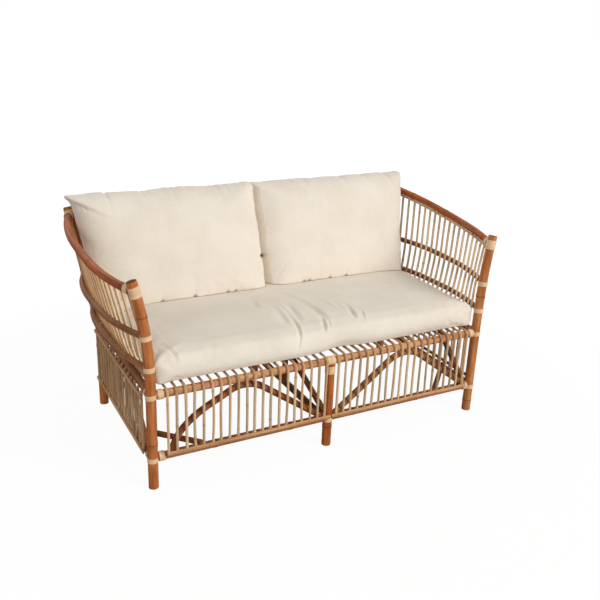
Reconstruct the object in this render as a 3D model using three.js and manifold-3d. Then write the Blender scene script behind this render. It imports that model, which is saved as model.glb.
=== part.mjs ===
// Rattan garden sofa: a bound pole frame with bowed arms, cane spindles that bend over the
// front rail and run back as the seat deck, arched braces, a bench cushion and two pillows.
// Millimetres, +Z up, +X to the right seen from the front, and the front faces -Y.

import * as THREE from 'three';
import { mergeVertices } from 'three/addons/utils/BufferGeometryUtils.js';
import Module from 'manifold-3d';

const wasm = await Module();
wasm.setup();

// Overall sizes, foot centre to foot centre; the side rails rise one above the other
const legSpan = 1240;
const legDepth = 600;
const bottomRailHeight = 106;
const seatRailHeight = 320;
const lowerRailRise = 89;
const lowerRailBackRise = 75;
const midRailRise = 101;
const armFrontRise = 141;
const armBackRise = 204;
const frontPostAboveArm = 31;
const backPostAboveArm = 21;

// How the posts lean out of the upright above the seat
const frontFlare = 32;
const frontSetback = 14;
const backFlare = 61;
const backLean = 97;
const frontBendPowerShare = 2.5;

// How far the side rails bow outwards between their posts
const armBow = 55;
const midBow = 60;
const lowerBow = 46;
const armSag = 9;
const bowPowerShare = 2.6;

// Pole and cane diameters
const postDiameter = 32;
const railDiameter = 26;
const slimRailDiameter = 20;
const archDiameter = 22;
const cornerBraceDiameter = 20;
const caneDiameter = 9;

// Half round strips that hold the canes to the rails, a little towards the panel's middle
const stripWidth = 18;
const stripDepth = 6;
const stripBite = 1.5;
const stripShift = 14;

// Peel bindings, as raised bands on the posts and wound ends on the front and back rails
const peelThickness = 1.6;
const bindingLength = 20;
const bindingShift = 5;
const legTopBinding = 30;
const woundDiameter = 35;
const woundReach = 40;
const centreWinding = 25;

// Cane spacing, measured from the post and leg axes
const frontPitch = 29;
const sidePitch = 34;
const leftFirstCane = 46;
const leftLastCane = 23;
const rightFirstCane = 23;
const rightLastCane = 54;
const sideFirstCane = 38;
const canePastRail = 2;
const slatPastBackRail = 6;
const stripEndInset = 40;
const sideEndInset = 26;
const halfStripGap = 4;
const stripInwardShare = 0.5;

// Arched braces: how far each foot stands from the post or leg axis beside it
const archInnerInset = 11;
const leftKneeInset = 63;
const rightArchOuterInset = 21;
const sideArchInset = 42;
const centreArchInset = 10;
const centreArchHeight = 198;
const crownRadius = 115;

// Braces and rails under the seat
const cornerBraceReach = 165;
const cornerBraceLift = 12;
const crossRailDrop = 16;
const deckRailBehindCentre = 5;

// Cushions
const seatCushionThickness = 98;
const seatCushionCrown = 16;
const seatCushionFrontInset = 10;
const seatEdgeRadius = 24;
const cushionDrawIn = 7;
const seatEndBulge = 13;
const pillowHeight = 424;
const pillowThickness = 180;
const pillowTopWidth = 682;
const pillowBottomWidth = 620;
const pillowSplitOffset = -30;
const pillowTopReach = 74;
const pillowFootForward = 55;
const pillowGap = 3;
const pillowSink = 56;

// Clearance between pieces that touch
const touch = 0.3;
const cushionTouch = 0.6;

// Facet counts
const postSides = 8;
const railSides = 8;
const caneSides = 5;
const railSteps = 8;
const bendSteps = 3;
const crownSteps = 4;
const stripSteps = 4;
const seatOutlineSteps = 32;
const pillowOutlineSteps = 30;
const edgeArcSteps = 3;

// Shapes of the cushions, as shares of their own sizes
const seatCornerPowerShare = 0.1;
const pillowCornerPowerShare = 0.12;
const crownRingShares = [0.18, 0.42, 0.7];
const pillowRingShares = [0.95, 0.85, 0.65, 0.35];
const pillowBulgePowerShare = 3.6;
const pillowEdgePowerShare = 0.6;

// Welding distance for shared vertices, and the step for a tangent
const weld = 1e-4;
const tangentStepShare = 1e-3;

const lowerRailHeight = seatRailHeight + lowerRailRise;
const lowerRailBackHeight = seatRailHeight + lowerRailBackRise;
const midRailHeight = lowerRailHeight + midRailRise;
const armFrontHeight = midRailHeight + armFrontRise;
const armBackHeight = midRailHeight + armBackRise;
const crossRailHeight = bottomRailHeight - crossRailDrop;

const halfSpan = legSpan / 2;
const halfDepth = legDepth / 2;
const postRadius = postDiameter / 2;
const railRadius = railDiameter / 2;
const slimRailRadius = slimRailDiameter / 2;
const archRadius = archDiameter / 2;
const caneRadius = caneDiameter / 2;
const caneFlatRadius = caneRadius * Math.cos(Math.PI / caneSides);
const caneOffRail = railRadius + caneRadius + touch;
const caneOffSlimRail = slimRailRadius + caneRadius + touch;
const slatOffRail = railRadius + caneFlatRadius + touch;
const deckHeight = seatRailHeight + slatOffRail;
const deckTop = deckHeight + caneRadius;

const up = new THREE.Vector3(0, 0, 1);
const vector = (x, y, z) => new THREE.Vector3(x, y, z);

const finishes = {
  pole: { color: 0xb4683c, roughness: 0.42, metalness: 0 },
  rail: { color: 0xc98f5c, roughness: 0.5, metalness: 0 },
  brace: { color: 0x8a5a34, roughness: 0.6, metalness: 0 },
  cane: { color: 0xdcc8a0, roughness: 0.55, metalness: 0 },
  canvas: { color: 0xeee0cc, roughness: 0.9, metalness: 0 },
};

// A path whose rings stand exactly at the stations it is given
class StationPath extends THREE.Curve {
  constructor(stations) {
    super();
    this.stations = stations;
  }

  getPoint(t, target = new THREE.Vector3()) {
    const last = this.stations.length - 1;
    const place = THREE.MathUtils.clamp(t, 0, 1) * last;
    const from = Math.min(Math.floor(place), last - 1);
    return target.lerpVectors(this.stations[from], this.stations[from + 1], place - from);
  }

  getUtoTmapping(u) {
    return u;
  }
}

function solidOf(geometry) {
  const bare = geometry.clone();
  bare.deleteAttribute('normal');
  bare.deleteAttribute('uv');
  const merged = mergeVertices(bare, weld);
  const mesh = new wasm.Mesh({
    numProp: 3,
    vertProperties: merged.attributes.position.array,
    triVerts: Uint32Array.from(merged.index.array),
  });
  return new wasm.Manifold(mesh);
}

function joined(solids) {
  return solids.reduce((whole, solid) => whole.add(solid));
}

function coped(solid, tools) {
  return tools.reduce((rest, tool) => rest.subtract(tool), solid);
}

const sofa = new THREE.Group();

function addPiece(name, solid, finish) {
  const { vertProperties, triVerts } = solid.getMesh();
  const geometry = new THREE.BufferGeometry();
  geometry.setAttribute('position', new THREE.BufferAttribute(vertProperties, 3));
  geometry.setIndex(new THREE.BufferAttribute(triVerts, 1));
  geometry.computeVertexNormals();
  const mesh = new THREE.Mesh(geometry, new THREE.MeshStandardMaterial(finishes[finish]));
  mesh.name = name;
  sofa.add(mesh);
}

// A round pole or cane through its stations
function pole(stations, diameter, sides) {
  const outline = [];
  for (let side = 0; side < sides; side += 1) {
    const angle = (side / sides) * 2 * Math.PI;
    outline.push(new THREE.Vector2(Math.cos(angle), Math.sin(angle)).multiplyScalar(diameter / 2));
  }
  return solidOf(new THREE.ExtrudeGeometry(new THREE.Shape(outline), {
    steps: stations.length - 1,
    extrudePath: new StationPath(stations),
    bevelEnabled: false,
  }));
}

const rail = (stations, diameter = railDiameter) => pole(stations, diameter, railSides);

// A straight half round strip, flat side on the canes and round side outwards
function halfRoundStrip(middle, outward, length) {
  const shape = new THREE.Shape();
  for (let step = 0; step <= stripSteps; step += 1) {
    const angle = (step / stripSteps - 1 / 2) * Math.PI;
    const x = stripDepth * Math.cos(angle);
    const y = (stripWidth / 2) * Math.sin(angle);
    if (step === 0) shape.moveTo(x, y);
    else shape.lineTo(x, y);
  }
  const geometry = new THREE.ExtrudeGeometry(shape, { depth: length, bevelEnabled: false });
  geometry.translate(0, 0, -length / 2);
  const along = new THREE.Vector3().crossVectors(outward, up);
  geometry.applyMatrix4(new THREE.Matrix4().makeBasis(outward, up, along).setPosition(middle));
  return solidOf(geometry);
}

function sharesOf(count) {
  return Array.from({ length: count + 1 }, (_, step) => step / count);
}

const mirrored = (points, side) => points.map((point) => vector(side * point.x, point.y, point.z));

// Posts: upright to the seat rail, then leaning outwards and back

function leanAt(height, fullHeight) {
  return Math.max(0, height - seatRailHeight) / (fullHeight - seatRailHeight);
}

function frontPostAt(height) {
  const lean = leanAt(height, armFrontHeight) ** frontBendPowerShare;
  return vector(halfSpan + frontFlare * lean, -halfDepth + frontSetback * lean, height);
}

function backPostAt(height) {
  const lean = leanAt(height, armBackHeight);
  return vector(halfSpan + backFlare * lean, halfDepth + backLean * lean, height);
}

const backCentreAt = (height) => vector(0, backPostAt(height).y, height);
const legAt = (y) => (height) => vector(0, y, height);

// A post is turned with its raised bindings and then leant to its path; slack grows it
// into a tool for coping the rails
function post(placeAt, heights, bindings, side = 1) {
  return (slack = 0) => {
    const radius = postRadius + slack;
    const raised = radius + peelThickness;
    const profile = heights.map((height) => ({ height, radius }));
    for (const { height, length } of bindings) {
      const low = height - length / 2 - slack;
      const high = height + length / 2 + slack;
      profile.push({ height: low, radius }, { height: low, radius: raised, inner: 1 });
      profile.push({ height: high, radius: raised }, { height: high, radius, inner: 1 });
    }
    const inBinding = ({ height, radius: wanted }) => wanted < raised && bindings.some((binding) => (
      Math.abs(height - binding.height) < binding.length / 2 + slack));
    const rows = profile.filter((row) => !inBinding(row));
    rows.sort((one, other) => one.height - other.height || (one.inner ?? 0) - (other.inner ?? 0));
    const outline = rows.map((row) => new THREE.Vector2(row.radius, row.height));
    outline.unshift(new THREE.Vector2(0, rows[0].height));
    outline.push(new THREE.Vector2(0, rows[rows.length - 1].height));
    const geometry = new THREE.LatheGeometry(outline, postSides);
    geometry.rotateX(Math.PI / 2);
    const { position } = geometry.attributes;
    for (let index = 0; index < position.count; index += 1) {
      const centre = placeAt(position.getZ(index));
      position.setX(index, position.getX(index) + side * centre.x);
      position.setY(index, position.getY(index) + centre.y);
    }
    return solidOf(geometry);
  };
}

const bound = (height) => ({ height, length: bindingLength });
const underBottomRail = bound(bottomRailHeight - bindingShift);
const overSeatRail = bound(seatRailHeight + bindingShift);

const frontPostTop = armFrontHeight + frontPostAboveArm;
const frontHeights = [0, seatRailHeight, lowerRailHeight, midRailHeight,
  (midRailHeight + armFrontHeight) / 2, armFrontHeight, frontPostTop];
const frontBindings = [underBottomRail, overSeatRail, bound(lowerRailHeight), bound(midRailHeight),
  bound(armFrontHeight)];

const backPostTop = armBackHeight + backPostAboveArm;
const backHeights = [0, seatRailHeight, lowerRailBackHeight, midRailHeight, armBackHeight, backPostTop];
const backBindings = [underBottomRail, overSeatRail, bound(lowerRailBackHeight), bound(midRailHeight),
  bound(armBackHeight)];

const posts = {
  front_post_left: post(frontPostAt, frontHeights, frontBindings, -1),
  front_post_right: post(frontPostAt, frontHeights, frontBindings),
  back_post_left: post(backPostAt, backHeights, backBindings, -1),
  back_post_right: post(backPostAt, backHeights, backBindings),
};
for (const [name, makePost] of Object.entries(posts)) addPiece(name, makePost(), 'pole');

const cornerTools = (side) => {
  const hand = side < 0 ? 'left' : 'right';
  return [posts[`front_post_${hand}`](touch), posts[`back_post_${hand}`](touch)];
};
const leftTools = cornerTools(-1);
const rightTools = cornerTools(1);

// Front and back rails run across between the posts, wound with peel beside them; slack
// grows one into a tool for coping what it meets

function acrossRail(end, height, diameter = railDiameter, slack = 0) {
  const point = (x) => vector(x, end * halfDepth, height);
  const outer = halfSpan + Math.sign(slack) * railDiameter;
  const solids = [rail([point(-outer), point(outer)], diameter + 2 * slack)];
  for (const side of [-1, 1]) {
    const wound = [point(side * outer), point(side * (halfSpan - woundReach - slack))];
    solids.push(rail(wound, woundDiameter + 2 * slack));
  }
  return joined(solids);
}

const frontWinding = (slack = 0) => rail([
  vector(-centreWinding / 2 - slack, -halfDepth, seatRailHeight),
  vector(centreWinding / 2 + slack, -halfDepth, seatRailHeight),
], woundDiameter + 2 * slack);

// Centre leg: coped under the front seat rail and bound to it

const legBindings = [underBottomRail,
  { height: seatRailHeight - railRadius - legTopBinding / 2, length: legTopBinding }];
const frontCentreLeg = post(legAt(-halfDepth), [0, seatRailHeight], legBindings);
const frontRailTool = acrossRail(-1, seatRailHeight, railDiameter, touch);
addPiece('front_centre_leg', coped(frontCentreLeg(), [frontRailTool, frontWinding(touch)]), 'pole');
const frontLegTool = frontCentreLeg(touch);

// Back centre post: it runs up to the back top rail

const topRailStations = mirrored([backPostAt(armBackHeight)], -1).concat([backPostAt(armBackHeight)]);
const topRailTool = rail(topRailStations, railDiameter + 2 * touch);
const backCentreHeights = backHeights.slice(0, -1);
const backCentrePost = post(backCentreAt, backCentreHeights, backBindings.slice(0, -1));
addPiece('back_centre_post', coped(backCentrePost(), [topRailTool]), 'pole');
const backCentreTool = backCentrePost(touch);

// Straight rails of the seat box, butted between the posts and coped to them

const cornerPosts = [...leftTools, ...rightTools];
const frontSeatRail = acrossRail(-1, seatRailHeight).add(frontWinding());
addPiece('front_seat_rail', coped(frontSeatRail, cornerPosts), 'rail');

function halfRails(baseName, across, centreTool, finish) {
  for (const [hand, side, tools] of [['left', -1, leftTools], ['right', 1, rightTools]]) {
    const half = across.trimByPlane([side, 0, 0], 0);
    addPiece(`${baseName}_${hand}`, coped(half, [...tools, centreTool]), finish);
  }
}
halfRails('front_bottom_rail', acrossRail(-1, bottomRailHeight), frontLegTool, 'rail');
halfRails('back_bottom_rail', acrossRail(1, bottomRailHeight), backCentreTool, 'rail');
halfRails('back_seat_rail', acrossRail(1, seatRailHeight), backCentreTool, 'rail');
for (const [name, height] of [['back_lower_rail', lowerRailBackHeight], ['back_mid_rail', midRailHeight]]) {
  const end = backPostAt(height);
  halfRails(name, rail([vector(-end.x, end.y, height), end]), backCentreTool, 'pole');
}
addPiece('back_top_rail', coped(rail(topRailStations), cornerPosts), 'pole');

// Bowed side rails, from the front post to the back post

function sideRail({ frontHeight, backHeight, bow, sag = 0, diameter }) {
  const front = frontPostAt(frontHeight);
  const back = backPostAt(backHeight);
  const stations = sharesOf(railSteps).map((share) => {
    const swell = 1 - Math.abs(2 * share - 1) ** bowPowerShare;
    const point = new THREE.Vector3().lerpVectors(front, back, share);
    return point.add(vector(bow * swell, 0, -sag * swell));
  });
  const path = new StationPath(stations);
  const at = (share) => path.getPoint(share);
  const inwardAt = (share) => {
    const ahead = at(share + tangentStepShare).sub(at(share - tangentStepShare));
    return vector(-ahead.y, ahead.x, 0).normalize();
  };
  return { stations, at, inwardAt, diameter };
}

const armRail = sideRail({
  frontHeight: armFrontHeight, backHeight: armBackHeight, bow: armBow, sag: armSag, diameter: railDiameter,
});
const midRail = sideRail({
  frontHeight: midRailHeight, backHeight: midRailHeight, bow: midBow, diameter: slimRailDiameter,
});
const lowerRail = sideRail({
  frontHeight: lowerRailHeight, backHeight: lowerRailBackHeight, bow: lowerBow, diameter: slimRailDiameter,
});

// Straight rails of the seat box, along the sides and across
const seatBoxStations = (side, height) => [vector(side * halfSpan, -halfDepth, height),
  vector(side * halfSpan, halfDepth, height)];
const acrossTool = (end, height) => acrossRail(end, height, railDiameter, touch);

for (const [hand, side, tools] of [['left', -1, leftTools], ['right', 1, rightTools]]) {
  for (const [name, shape] of [['arm_rail', armRail], ['side_mid_rail', midRail],
    ['side_lower_rail', lowerRail]]) {
    addPiece(`${name}_${hand}`, coped(rail(mirrored(shape.stations, side), shape.diameter), tools), 'pole');
  }
  for (const [name, height] of [['side_seat_rail', seatRailHeight], ['side_bottom_rail', bottomRailHeight]]) {
    const across = [acrossTool(-1, height), acrossTool(1, height)];
    addPiece(`${name}_${hand}`, coped(rail(seatBoxStations(side, height)), [...tools, ...across]), 'rail');
  }
}

// Rails and the short post under the seat deck

const deckRailStations = [vector(-halfSpan, deckRailBehindCentre, seatRailHeight),
  vector(halfSpan, deckRailBehindCentre, seatRailHeight)];
const sideSeatTools = [-1, 1].map((side) => (
  rail(seatBoxStations(side, seatRailHeight), railDiameter + 2 * touch)));
addPiece('deck_support_rail', coped(rail(deckRailStations), sideSeatTools), 'rail');
const deckRailTool = rail(deckRailStations, railDiameter + 2 * touch);

const crossRailStations = [vector(0, -halfDepth, crossRailHeight), vector(0, halfDepth, crossRailHeight)];
const legTools = [frontLegTool, backCentreTool];
const bottomTools = [acrossTool(-1, bottomRailHeight), acrossTool(1, bottomRailHeight)];
addPiece('centre_cross_rail', coped(rail(crossRailStations), [...legTools, ...bottomTools]), 'brace');
const crossRailTool = rail(crossRailStations, railDiameter + 2 * touch);

const besideCentre = archRadius + touch;
const deckPostStations = [vector(-besideCentre, deckRailBehindCentre, crossRailHeight),
  vector(-besideCentre, deckRailBehindCentre, seatRailHeight)];
addPiece('centre_deck_post', coped(rail(deckPostStations, archDiameter), [crossRailTool, deckRailTool]),
  'brace');

// Arched braces: two straight legs joined by a bent crown that touches the rail above

const crownHeight = seatRailHeight - railRadius - archRadius - touch;

function archOutline(halfWidth, rise, kneeInset) {
  const centreHeight = rise - crownRadius;
  const toFoot = Math.hypot(halfWidth, centreHeight);
  const footAngle = Math.PI + Math.atan2(centreHeight, halfWidth);
  const startAngle = footAngle - Math.acos(crownRadius / toFoot);
  const points = [];
  if (kneeInset > 0) {
    const kneeHeight = kneeInset / Math.tan(startAngle - Math.PI / 2);
    points.push(new THREE.Vector2(kneeInset - halfWidth, 0));
    points.push(new THREE.Vector2(kneeInset - halfWidth, kneeHeight));
  } else points.push(new THREE.Vector2(-halfWidth, 0));
  for (const share of sharesOf(crownSteps)) {
    const angle = THREE.MathUtils.lerp(startAngle, Math.PI - startAngle, share);
    const crown = new THREE.Vector2(Math.cos(angle), Math.sin(angle)).multiplyScalar(crownRadius);
    points.push(crown.add(new THREE.Vector2(0, centreHeight)));
  }
  points.push(new THREE.Vector2(halfWidth, 0));
  return points;
}

function arch(name, from, to, tools, { top = crownHeight, kneeInset = 0 } = {}) {
  const middle = new THREE.Vector3().addVectors(from, to).divideScalar(2);
  const along = new THREE.Vector3().subVectors(to, from).normalize();
  const stations = archOutline(from.distanceTo(to) / 2, top - from.z, kneeInset).map((point) => (
    middle.clone().addScaledVector(along, point.x).addScaledVector(up, point.y)));
  addPiece(name, coped(rail(stations, archDiameter), tools), 'brace');
}

const bottomPoint = (x, y) => vector(x, y, bottomRailHeight);
const sideBottomTool = (side) => rail(seatBoxStations(side, bottomRailHeight), railDiameter + 2 * touch);

for (const [place, end, legTool] of [['front', -1, frontLegTool], ['back', 1, backCentreTool]]) {
  const y = end * halfDepth;
  const tools = [acrossTool(end, bottomRailHeight), legTool];
  arch(`${place}_arch_left`, bottomPoint(-halfSpan, y), bottomPoint(-archInnerInset, y), tools,
    { kneeInset: leftKneeInset });
  arch(`${place}_arch_right`, bottomPoint(archInnerInset, y), bottomPoint(halfSpan - rightArchOuterInset, y),
    [...tools, ...rightTools]);
}
for (const [hand, side] of [['left', -1], ['right', 1]]) {
  arch(`side_arch_${hand}`, bottomPoint(side * halfSpan, sideArchInset - halfDepth),
    bottomPoint(side * halfSpan, halfDepth - sideArchInset), [sideBottomTool(side)]);
}
arch('centre_arch', vector(besideCentre, centreArchInset - halfDepth, crossRailHeight),
  vector(besideCentre, halfDepth - centreArchInset, crossRailHeight),
  [crossRailTool, ...legTools, ...bottomTools], { top: centreArchHeight });

// Corner braces across the four corners of the bottom rails

for (const [hand, side] of [['left', -1], ['right', 1]]) {
  for (const [place, end] of [['front', -1], ['back', 1]]) {
    const height = bottomRailHeight + cornerBraceLift;
    const stations = [vector(side * (halfSpan - cornerBraceReach), end * halfDepth, height),
      vector(side * halfSpan, end * (halfDepth - cornerBraceReach), height)];
    addPiece(`${place}_corner_brace_${hand}`,
      coped(rail(stations, cornerBraceDiameter), [acrossTool(end, bottomRailHeight), sideBottomTool(side)]),
      'brace');
  }
}

// Places of the canes along a run, close to the wanted pitch

function spread(from, to, pitch) {
  const gaps = Math.max(1, Math.round((to - from) / pitch));
  return sharesOf(gaps).map((share) => THREE.MathUtils.lerp(from, to, share));
}

const cane = (stations) => pole(stations, caneDiameter, caneSides);
const stripStandOff = caneOffRail + caneRadius - stripBite;

// Front spindles: up behind the bottom strip, bent over the seat rail, and back as deck slats,
// each with a flat side on the rails

const slatEnd = halfDepth + slatPastBackRail;
const caneFoot = bottomRailHeight - canePastRail;
const bendReach = slatOffRail / Math.cos(Math.PI / (4 * bendSteps));

function frontCane(x) {
  const bend = sharesOf(bendSteps).map((share) => {
    const angle = (share * Math.PI) / 2;
    const reach = share > 0 && share < 1 ? bendReach : slatOffRail;
    return vector(x, -halfDepth - reach * Math.cos(angle), seatRailHeight + reach * Math.sin(angle));
  });
  return cane([vector(x, -halfDepth - slatOffRail, caneFoot), ...bend, vector(x, slatEnd, deckHeight)]);
}

const leftCanes = spread(leftFirstCane - halfSpan, -leftLastCane, frontPitch);
const rightCanes = spread(rightFirstCane, halfSpan - rightLastCane, frontPitch);

function frontPanel(name, places, stripFrom, stripTo) {
  const middle = vector((stripFrom + stripTo) / 2, -halfDepth - stripStandOff,
    bottomRailHeight + stripShift);
  const strip = halfRoundStrip(middle, vector(0, -1, 0), stripTo - stripFrom);
  addPiece(name, joined([strip, ...places.map(frontCane)]), 'cane');
}
frontPanel('front_spindles_left', leftCanes, stripEndInset - halfSpan, -halfStripGap / 2);
frontPanel('front_spindles_right', rightCanes, halfStripGap / 2, halfSpan - stripEndInset);

// Lower side and back panels: straight canes on the outside, under a strip at each end

function lowerPanel(name, centre, outward, places) {
  const along = new THREE.Vector3().crossVectors(up, outward);
  const pointAt = (place, height) => centre.clone().setZ(height)
    .addScaledVector(outward, caneOffRail).addScaledVector(along, place);
  const solids = places.map((place) => (
    cane([pointAt(place, caneFoot), pointAt(place, seatRailHeight + canePastRail)])));
  const reach = Math.max(...places.map(Math.abs)) + stripWidth;
  for (const height of [bottomRailHeight + stripShift, seatRailHeight - stripShift]) {
    const middle = centre.clone().setZ(height).addScaledVector(outward, stripStandOff);
    solids.push(halfRoundStrip(middle, outward, 2 * reach));
  }
  addPiece(name, joined(solids), 'cane');
}

const sidePlaces = spread(sideFirstCane - halfDepth, halfDepth - sideFirstCane, sidePitch);
lowerPanel('side_lower_spindles_left', vector(-halfSpan, 0, 0), vector(-1, 0, 0), sidePlaces);
lowerPanel('side_lower_spindles_right', vector(halfSpan, 0, 0), vector(1, 0, 0), sidePlaces);
const centreClearance = postRadius + peelThickness + touch;
const clearOfCentre = (place) => Math.abs(place) > centreClearance + caneRadius;
const backLowerPlaces = spread(leftFirstCane - halfSpan, halfSpan - leftFirstCane, sidePitch)
  .filter(clearOfCentre);
lowerPanel('back_lower_spindles', vector(0, halfDepth, 0), vector(0, 1, 0), backLowerPlaces);

// Arm spindles: hung from a cane strip under the arm rail, inside the mid and lower rails

const armStripReach = railRadius + caneRadius + touch;
const stripDown = armStripReach * Math.sqrt(1 - stripInwardShare ** 2);

function armStripAt(share) {
  return armRail.at(share).addScaledVector(armRail.inwardAt(share), armStripReach * stripInwardShare)
    .addScaledVector(up, -stripDown);
}

// A cane that leans by run over rise stands further off a rail, to lie against it
const leant = (offset, run, rise) => (offset * Math.hypot(run, rise)) / rise;

function armCane(share) {
  const seatLine = vector(halfSpan, THREE.MathUtils.lerp(-halfDepth, halfDepth, share), seatRailHeight);
  const outOf = (shape, below) => {
    const on = shape.at(share);
    const offset = leant(caneOffSlimRail, on.x - below.x, on.z - below.z);
    return on.addScaledVector(shape.inwardAt(share), offset);
  };
  const onLower = outOf(lowerRail, seatLine);
  const onMid = outOf(midRail, lowerRail.at(share));
  const run = onLower.x - seatLine.x;
  const rise = onLower.z - seatLine.z;
  const away = Math.hypot(run, rise);
  const turn = Math.atan2(rise, -run) - Math.acos(caneOffRail / away);
  const past = vector(-Math.sin(turn), 0, -Math.cos(turn)).multiplyScalar(canePastRail);
  const foot = seatLine.clone()
    .add(vector(-Math.cos(turn), 0, Math.sin(turn)).multiplyScalar(caneOffRail)).add(past);
  const clearOfDeckRail = railRadius + 2 * caneRadius + touch;
  if (Math.abs(foot.y - deckRailBehindCentre) < clearOfDeckRail) {
    const lift = (seatRailHeight + clearOfDeckRail - caneRadius - foot.z) / (onLower.z - foot.z);
    foot.lerp(onLower, lift);
  }
  return [armStripAt(share), onMid, onLower, foot];
}

const armLength = legDepth + backLean - frontSetback;
const armShares = spread(sideFirstCane, armLength - sideFirstCane, sidePitch).map((place) => place / armLength);
const firstStripShare = sideEndInset / armLength;
const stripShares = sharesOf(railSteps).map((share) => (
  THREE.MathUtils.lerp(firstStripShare, 1 - firstStripShare, share)));

for (const [hand, side] of [['left', -1], ['right', 1]]) {
  const strip = pole(mirrored(stripShares.map(armStripAt), side), caneDiameter, caneSides);
  const canes = armShares.map((share) => cane(mirrored(armCane(share), side)));
  addPiece(`arm_spindles_${hand}`, joined([strip, ...canes]), 'cane');
}

// Upper back spindles: on the inner side of the back rails, fanned like the posts, and
// standing in the gaps between the deck slats

const backFoot = backPostAt(seatRailHeight);
const backTop = backPostAt(armBackHeight);
const backUp = backTop.clone().sub(backFoot).setX(0).normalize();
const backInward = vector(0, -backUp.z, backUp.y);
const backStripDown = Math.sqrt(armStripReach ** 2 - caneOffRail ** 2 + stripBite ** 2);

function backPlanePoint(place, climb, offset) {
  const middle = new THREE.Vector3().lerpVectors(backFoot, backTop, climb);
  return middle.setX((place / halfSpan) * middle.x).addScaledVector(backInward, offset);
}

function backCane(place) {
  const top = backPlanePoint(place, 1, caneOffRail).addScaledVector(backUp, -backStripDown);
  const foot = backPlanePoint(place, 0, caneOffRail).addScaledVector(backUp, -canePastRail);
  return cane([top, foot]);
}

const deckCanes = [...leftCanes, ...rightCanes];
const betweenCanes = deckCanes.slice(1).map((place, index) => (place + deckCanes[index]) / 2);
for (const [hand, side] of [['left', -1], ['right', 1]]) {
  const ends = [centreClearance, halfSpan - stripEndInset].map((place) => (
    backPlanePoint(side * place, 1, caneOffRail).addScaledVector(backUp, -backStripDown)));
  const canes = betweenCanes.filter((place) => place * side > centreClearance).map(backCane);
  addPiece(`back_spindles_${hand}`, joined([cane(ends), ...canes]), 'cane');
}

// Cushions: rings of a rounded outline, closed by a fan at each end

function outlinePoint(share, cornerPower) {
  const angle = share * 2 * Math.PI;
  const rounded = (value) => Math.sign(value) * Math.abs(value) ** cornerPower;
  const drawn = Math.cos(2 * angle) ** 2;
  return { x: rounded(Math.cos(angle)), y: rounded(Math.sin(angle)), drawn };
}

function stackedRings(rings, firstCentre, lastCentre) {
  const positions = [firstCentre, ...rings.flat(), lastCentre].flatMap((point) => point.toArray());
  const count = rings[0].length;
  const last = rings.length * count + 1;
  const index = [];
  for (let step = 0; step < count; step += 1) {
    const next = (step + 1) % count;
    index.push(0, next + 1, step + 1);
    for (let ring = 0; ring < rings.length - 1; ring += 1) {
      const low = ring * count + 1;
      const high = low + count;
      index.push(low + step, low + next, high + next, low + step, high + next, high + step);
    }
    const top = (rings.length - 1) * count + 1;
    index.push(top + step, top + next, last);
  }
  const geometry = new THREE.BufferGeometry();
  geometry.setAttribute('position', new THREE.Float32BufferAttribute(positions, 3));
  geometry.setIndex(index);
  return solidOf(geometry);
}

// Bench cushion: rounded edges, ends that bulge over the side rails, and a crown

const seatBase = deckTop + cushionTouch;
const seatTop = seatBase + seatCushionThickness;
const seatHalfWidth = halfSpan - caneOffRail - caneRadius - cushionTouch;
const seatFront = -halfDepth + seatCushionFrontInset;
const seatBack = halfDepth - caneOffRail - caneRadius - cushionTouch;
const seatHalfDepth = (seatBack - seatFront) / 2;
const seatMiddleY = (seatBack + seatFront) / 2;

// Slack grows the cushion into a tool that shapes the pillows' undersides
function benchCushion(slack = 0) {
  const low = seatBase - slack;
  const high = seatTop + slack;
  const ring = (inset, height) => sharesOf(seatOutlineSteps).slice(0, -1).map((share) => {
    const { x, y, drawn } = outlinePoint(share, seatCornerPowerShare);
    const pull = inset + cushionDrawIn * drawn - slack;
    const climb = Math.min(1, (height - low) / (high - low));
    const halfWidth = seatHalfWidth + seatEndBulge * Math.sin(climb * Math.PI) - pull;
    return vector(x * halfWidth, seatMiddleY + y * (seatHalfDepth - pull), height);
  });
  const quarter = sharesOf(edgeArcSteps).map((share) => (share * Math.PI) / 2);
  const rings = [
    ...quarter.map((angle) => ring(seatEdgeRadius * (1 - Math.sin(angle)),
      low + seatEdgeRadius * (1 - Math.cos(angle)))),
    ...quarter.map((angle) => ring(seatEdgeRadius * (1 - Math.cos(angle)),
      high - seatEdgeRadius * (1 - Math.sin(angle)))),
    ...crownRingShares.map((share) => ring(THREE.MathUtils.lerp(seatEdgeRadius, seatHalfDepth, share),
      high + seatCushionCrown * (1 - (1 - share) ** 2))),
  ];
  return stackedRings(rings, vector(0, seatMiddleY, low), vector(0, seatMiddleY, high + seatCushionCrown));
}
addPiece('seat_cushion', benchCushion(), 'canvas');
const seatCushionTool = benchCushion(cushionTouch);

// Back pillows: thin sewn edges and a full middle; they lean on the back spindles, foot forward

const pillowBase = backPlanePoint(0, 0, caneOffRail + caneRadius + pillowTopReach);
pillowBase.addScaledVector(backUp, (seatTop - pillowSink - pillowBase.z) / backUp.z);

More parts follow.
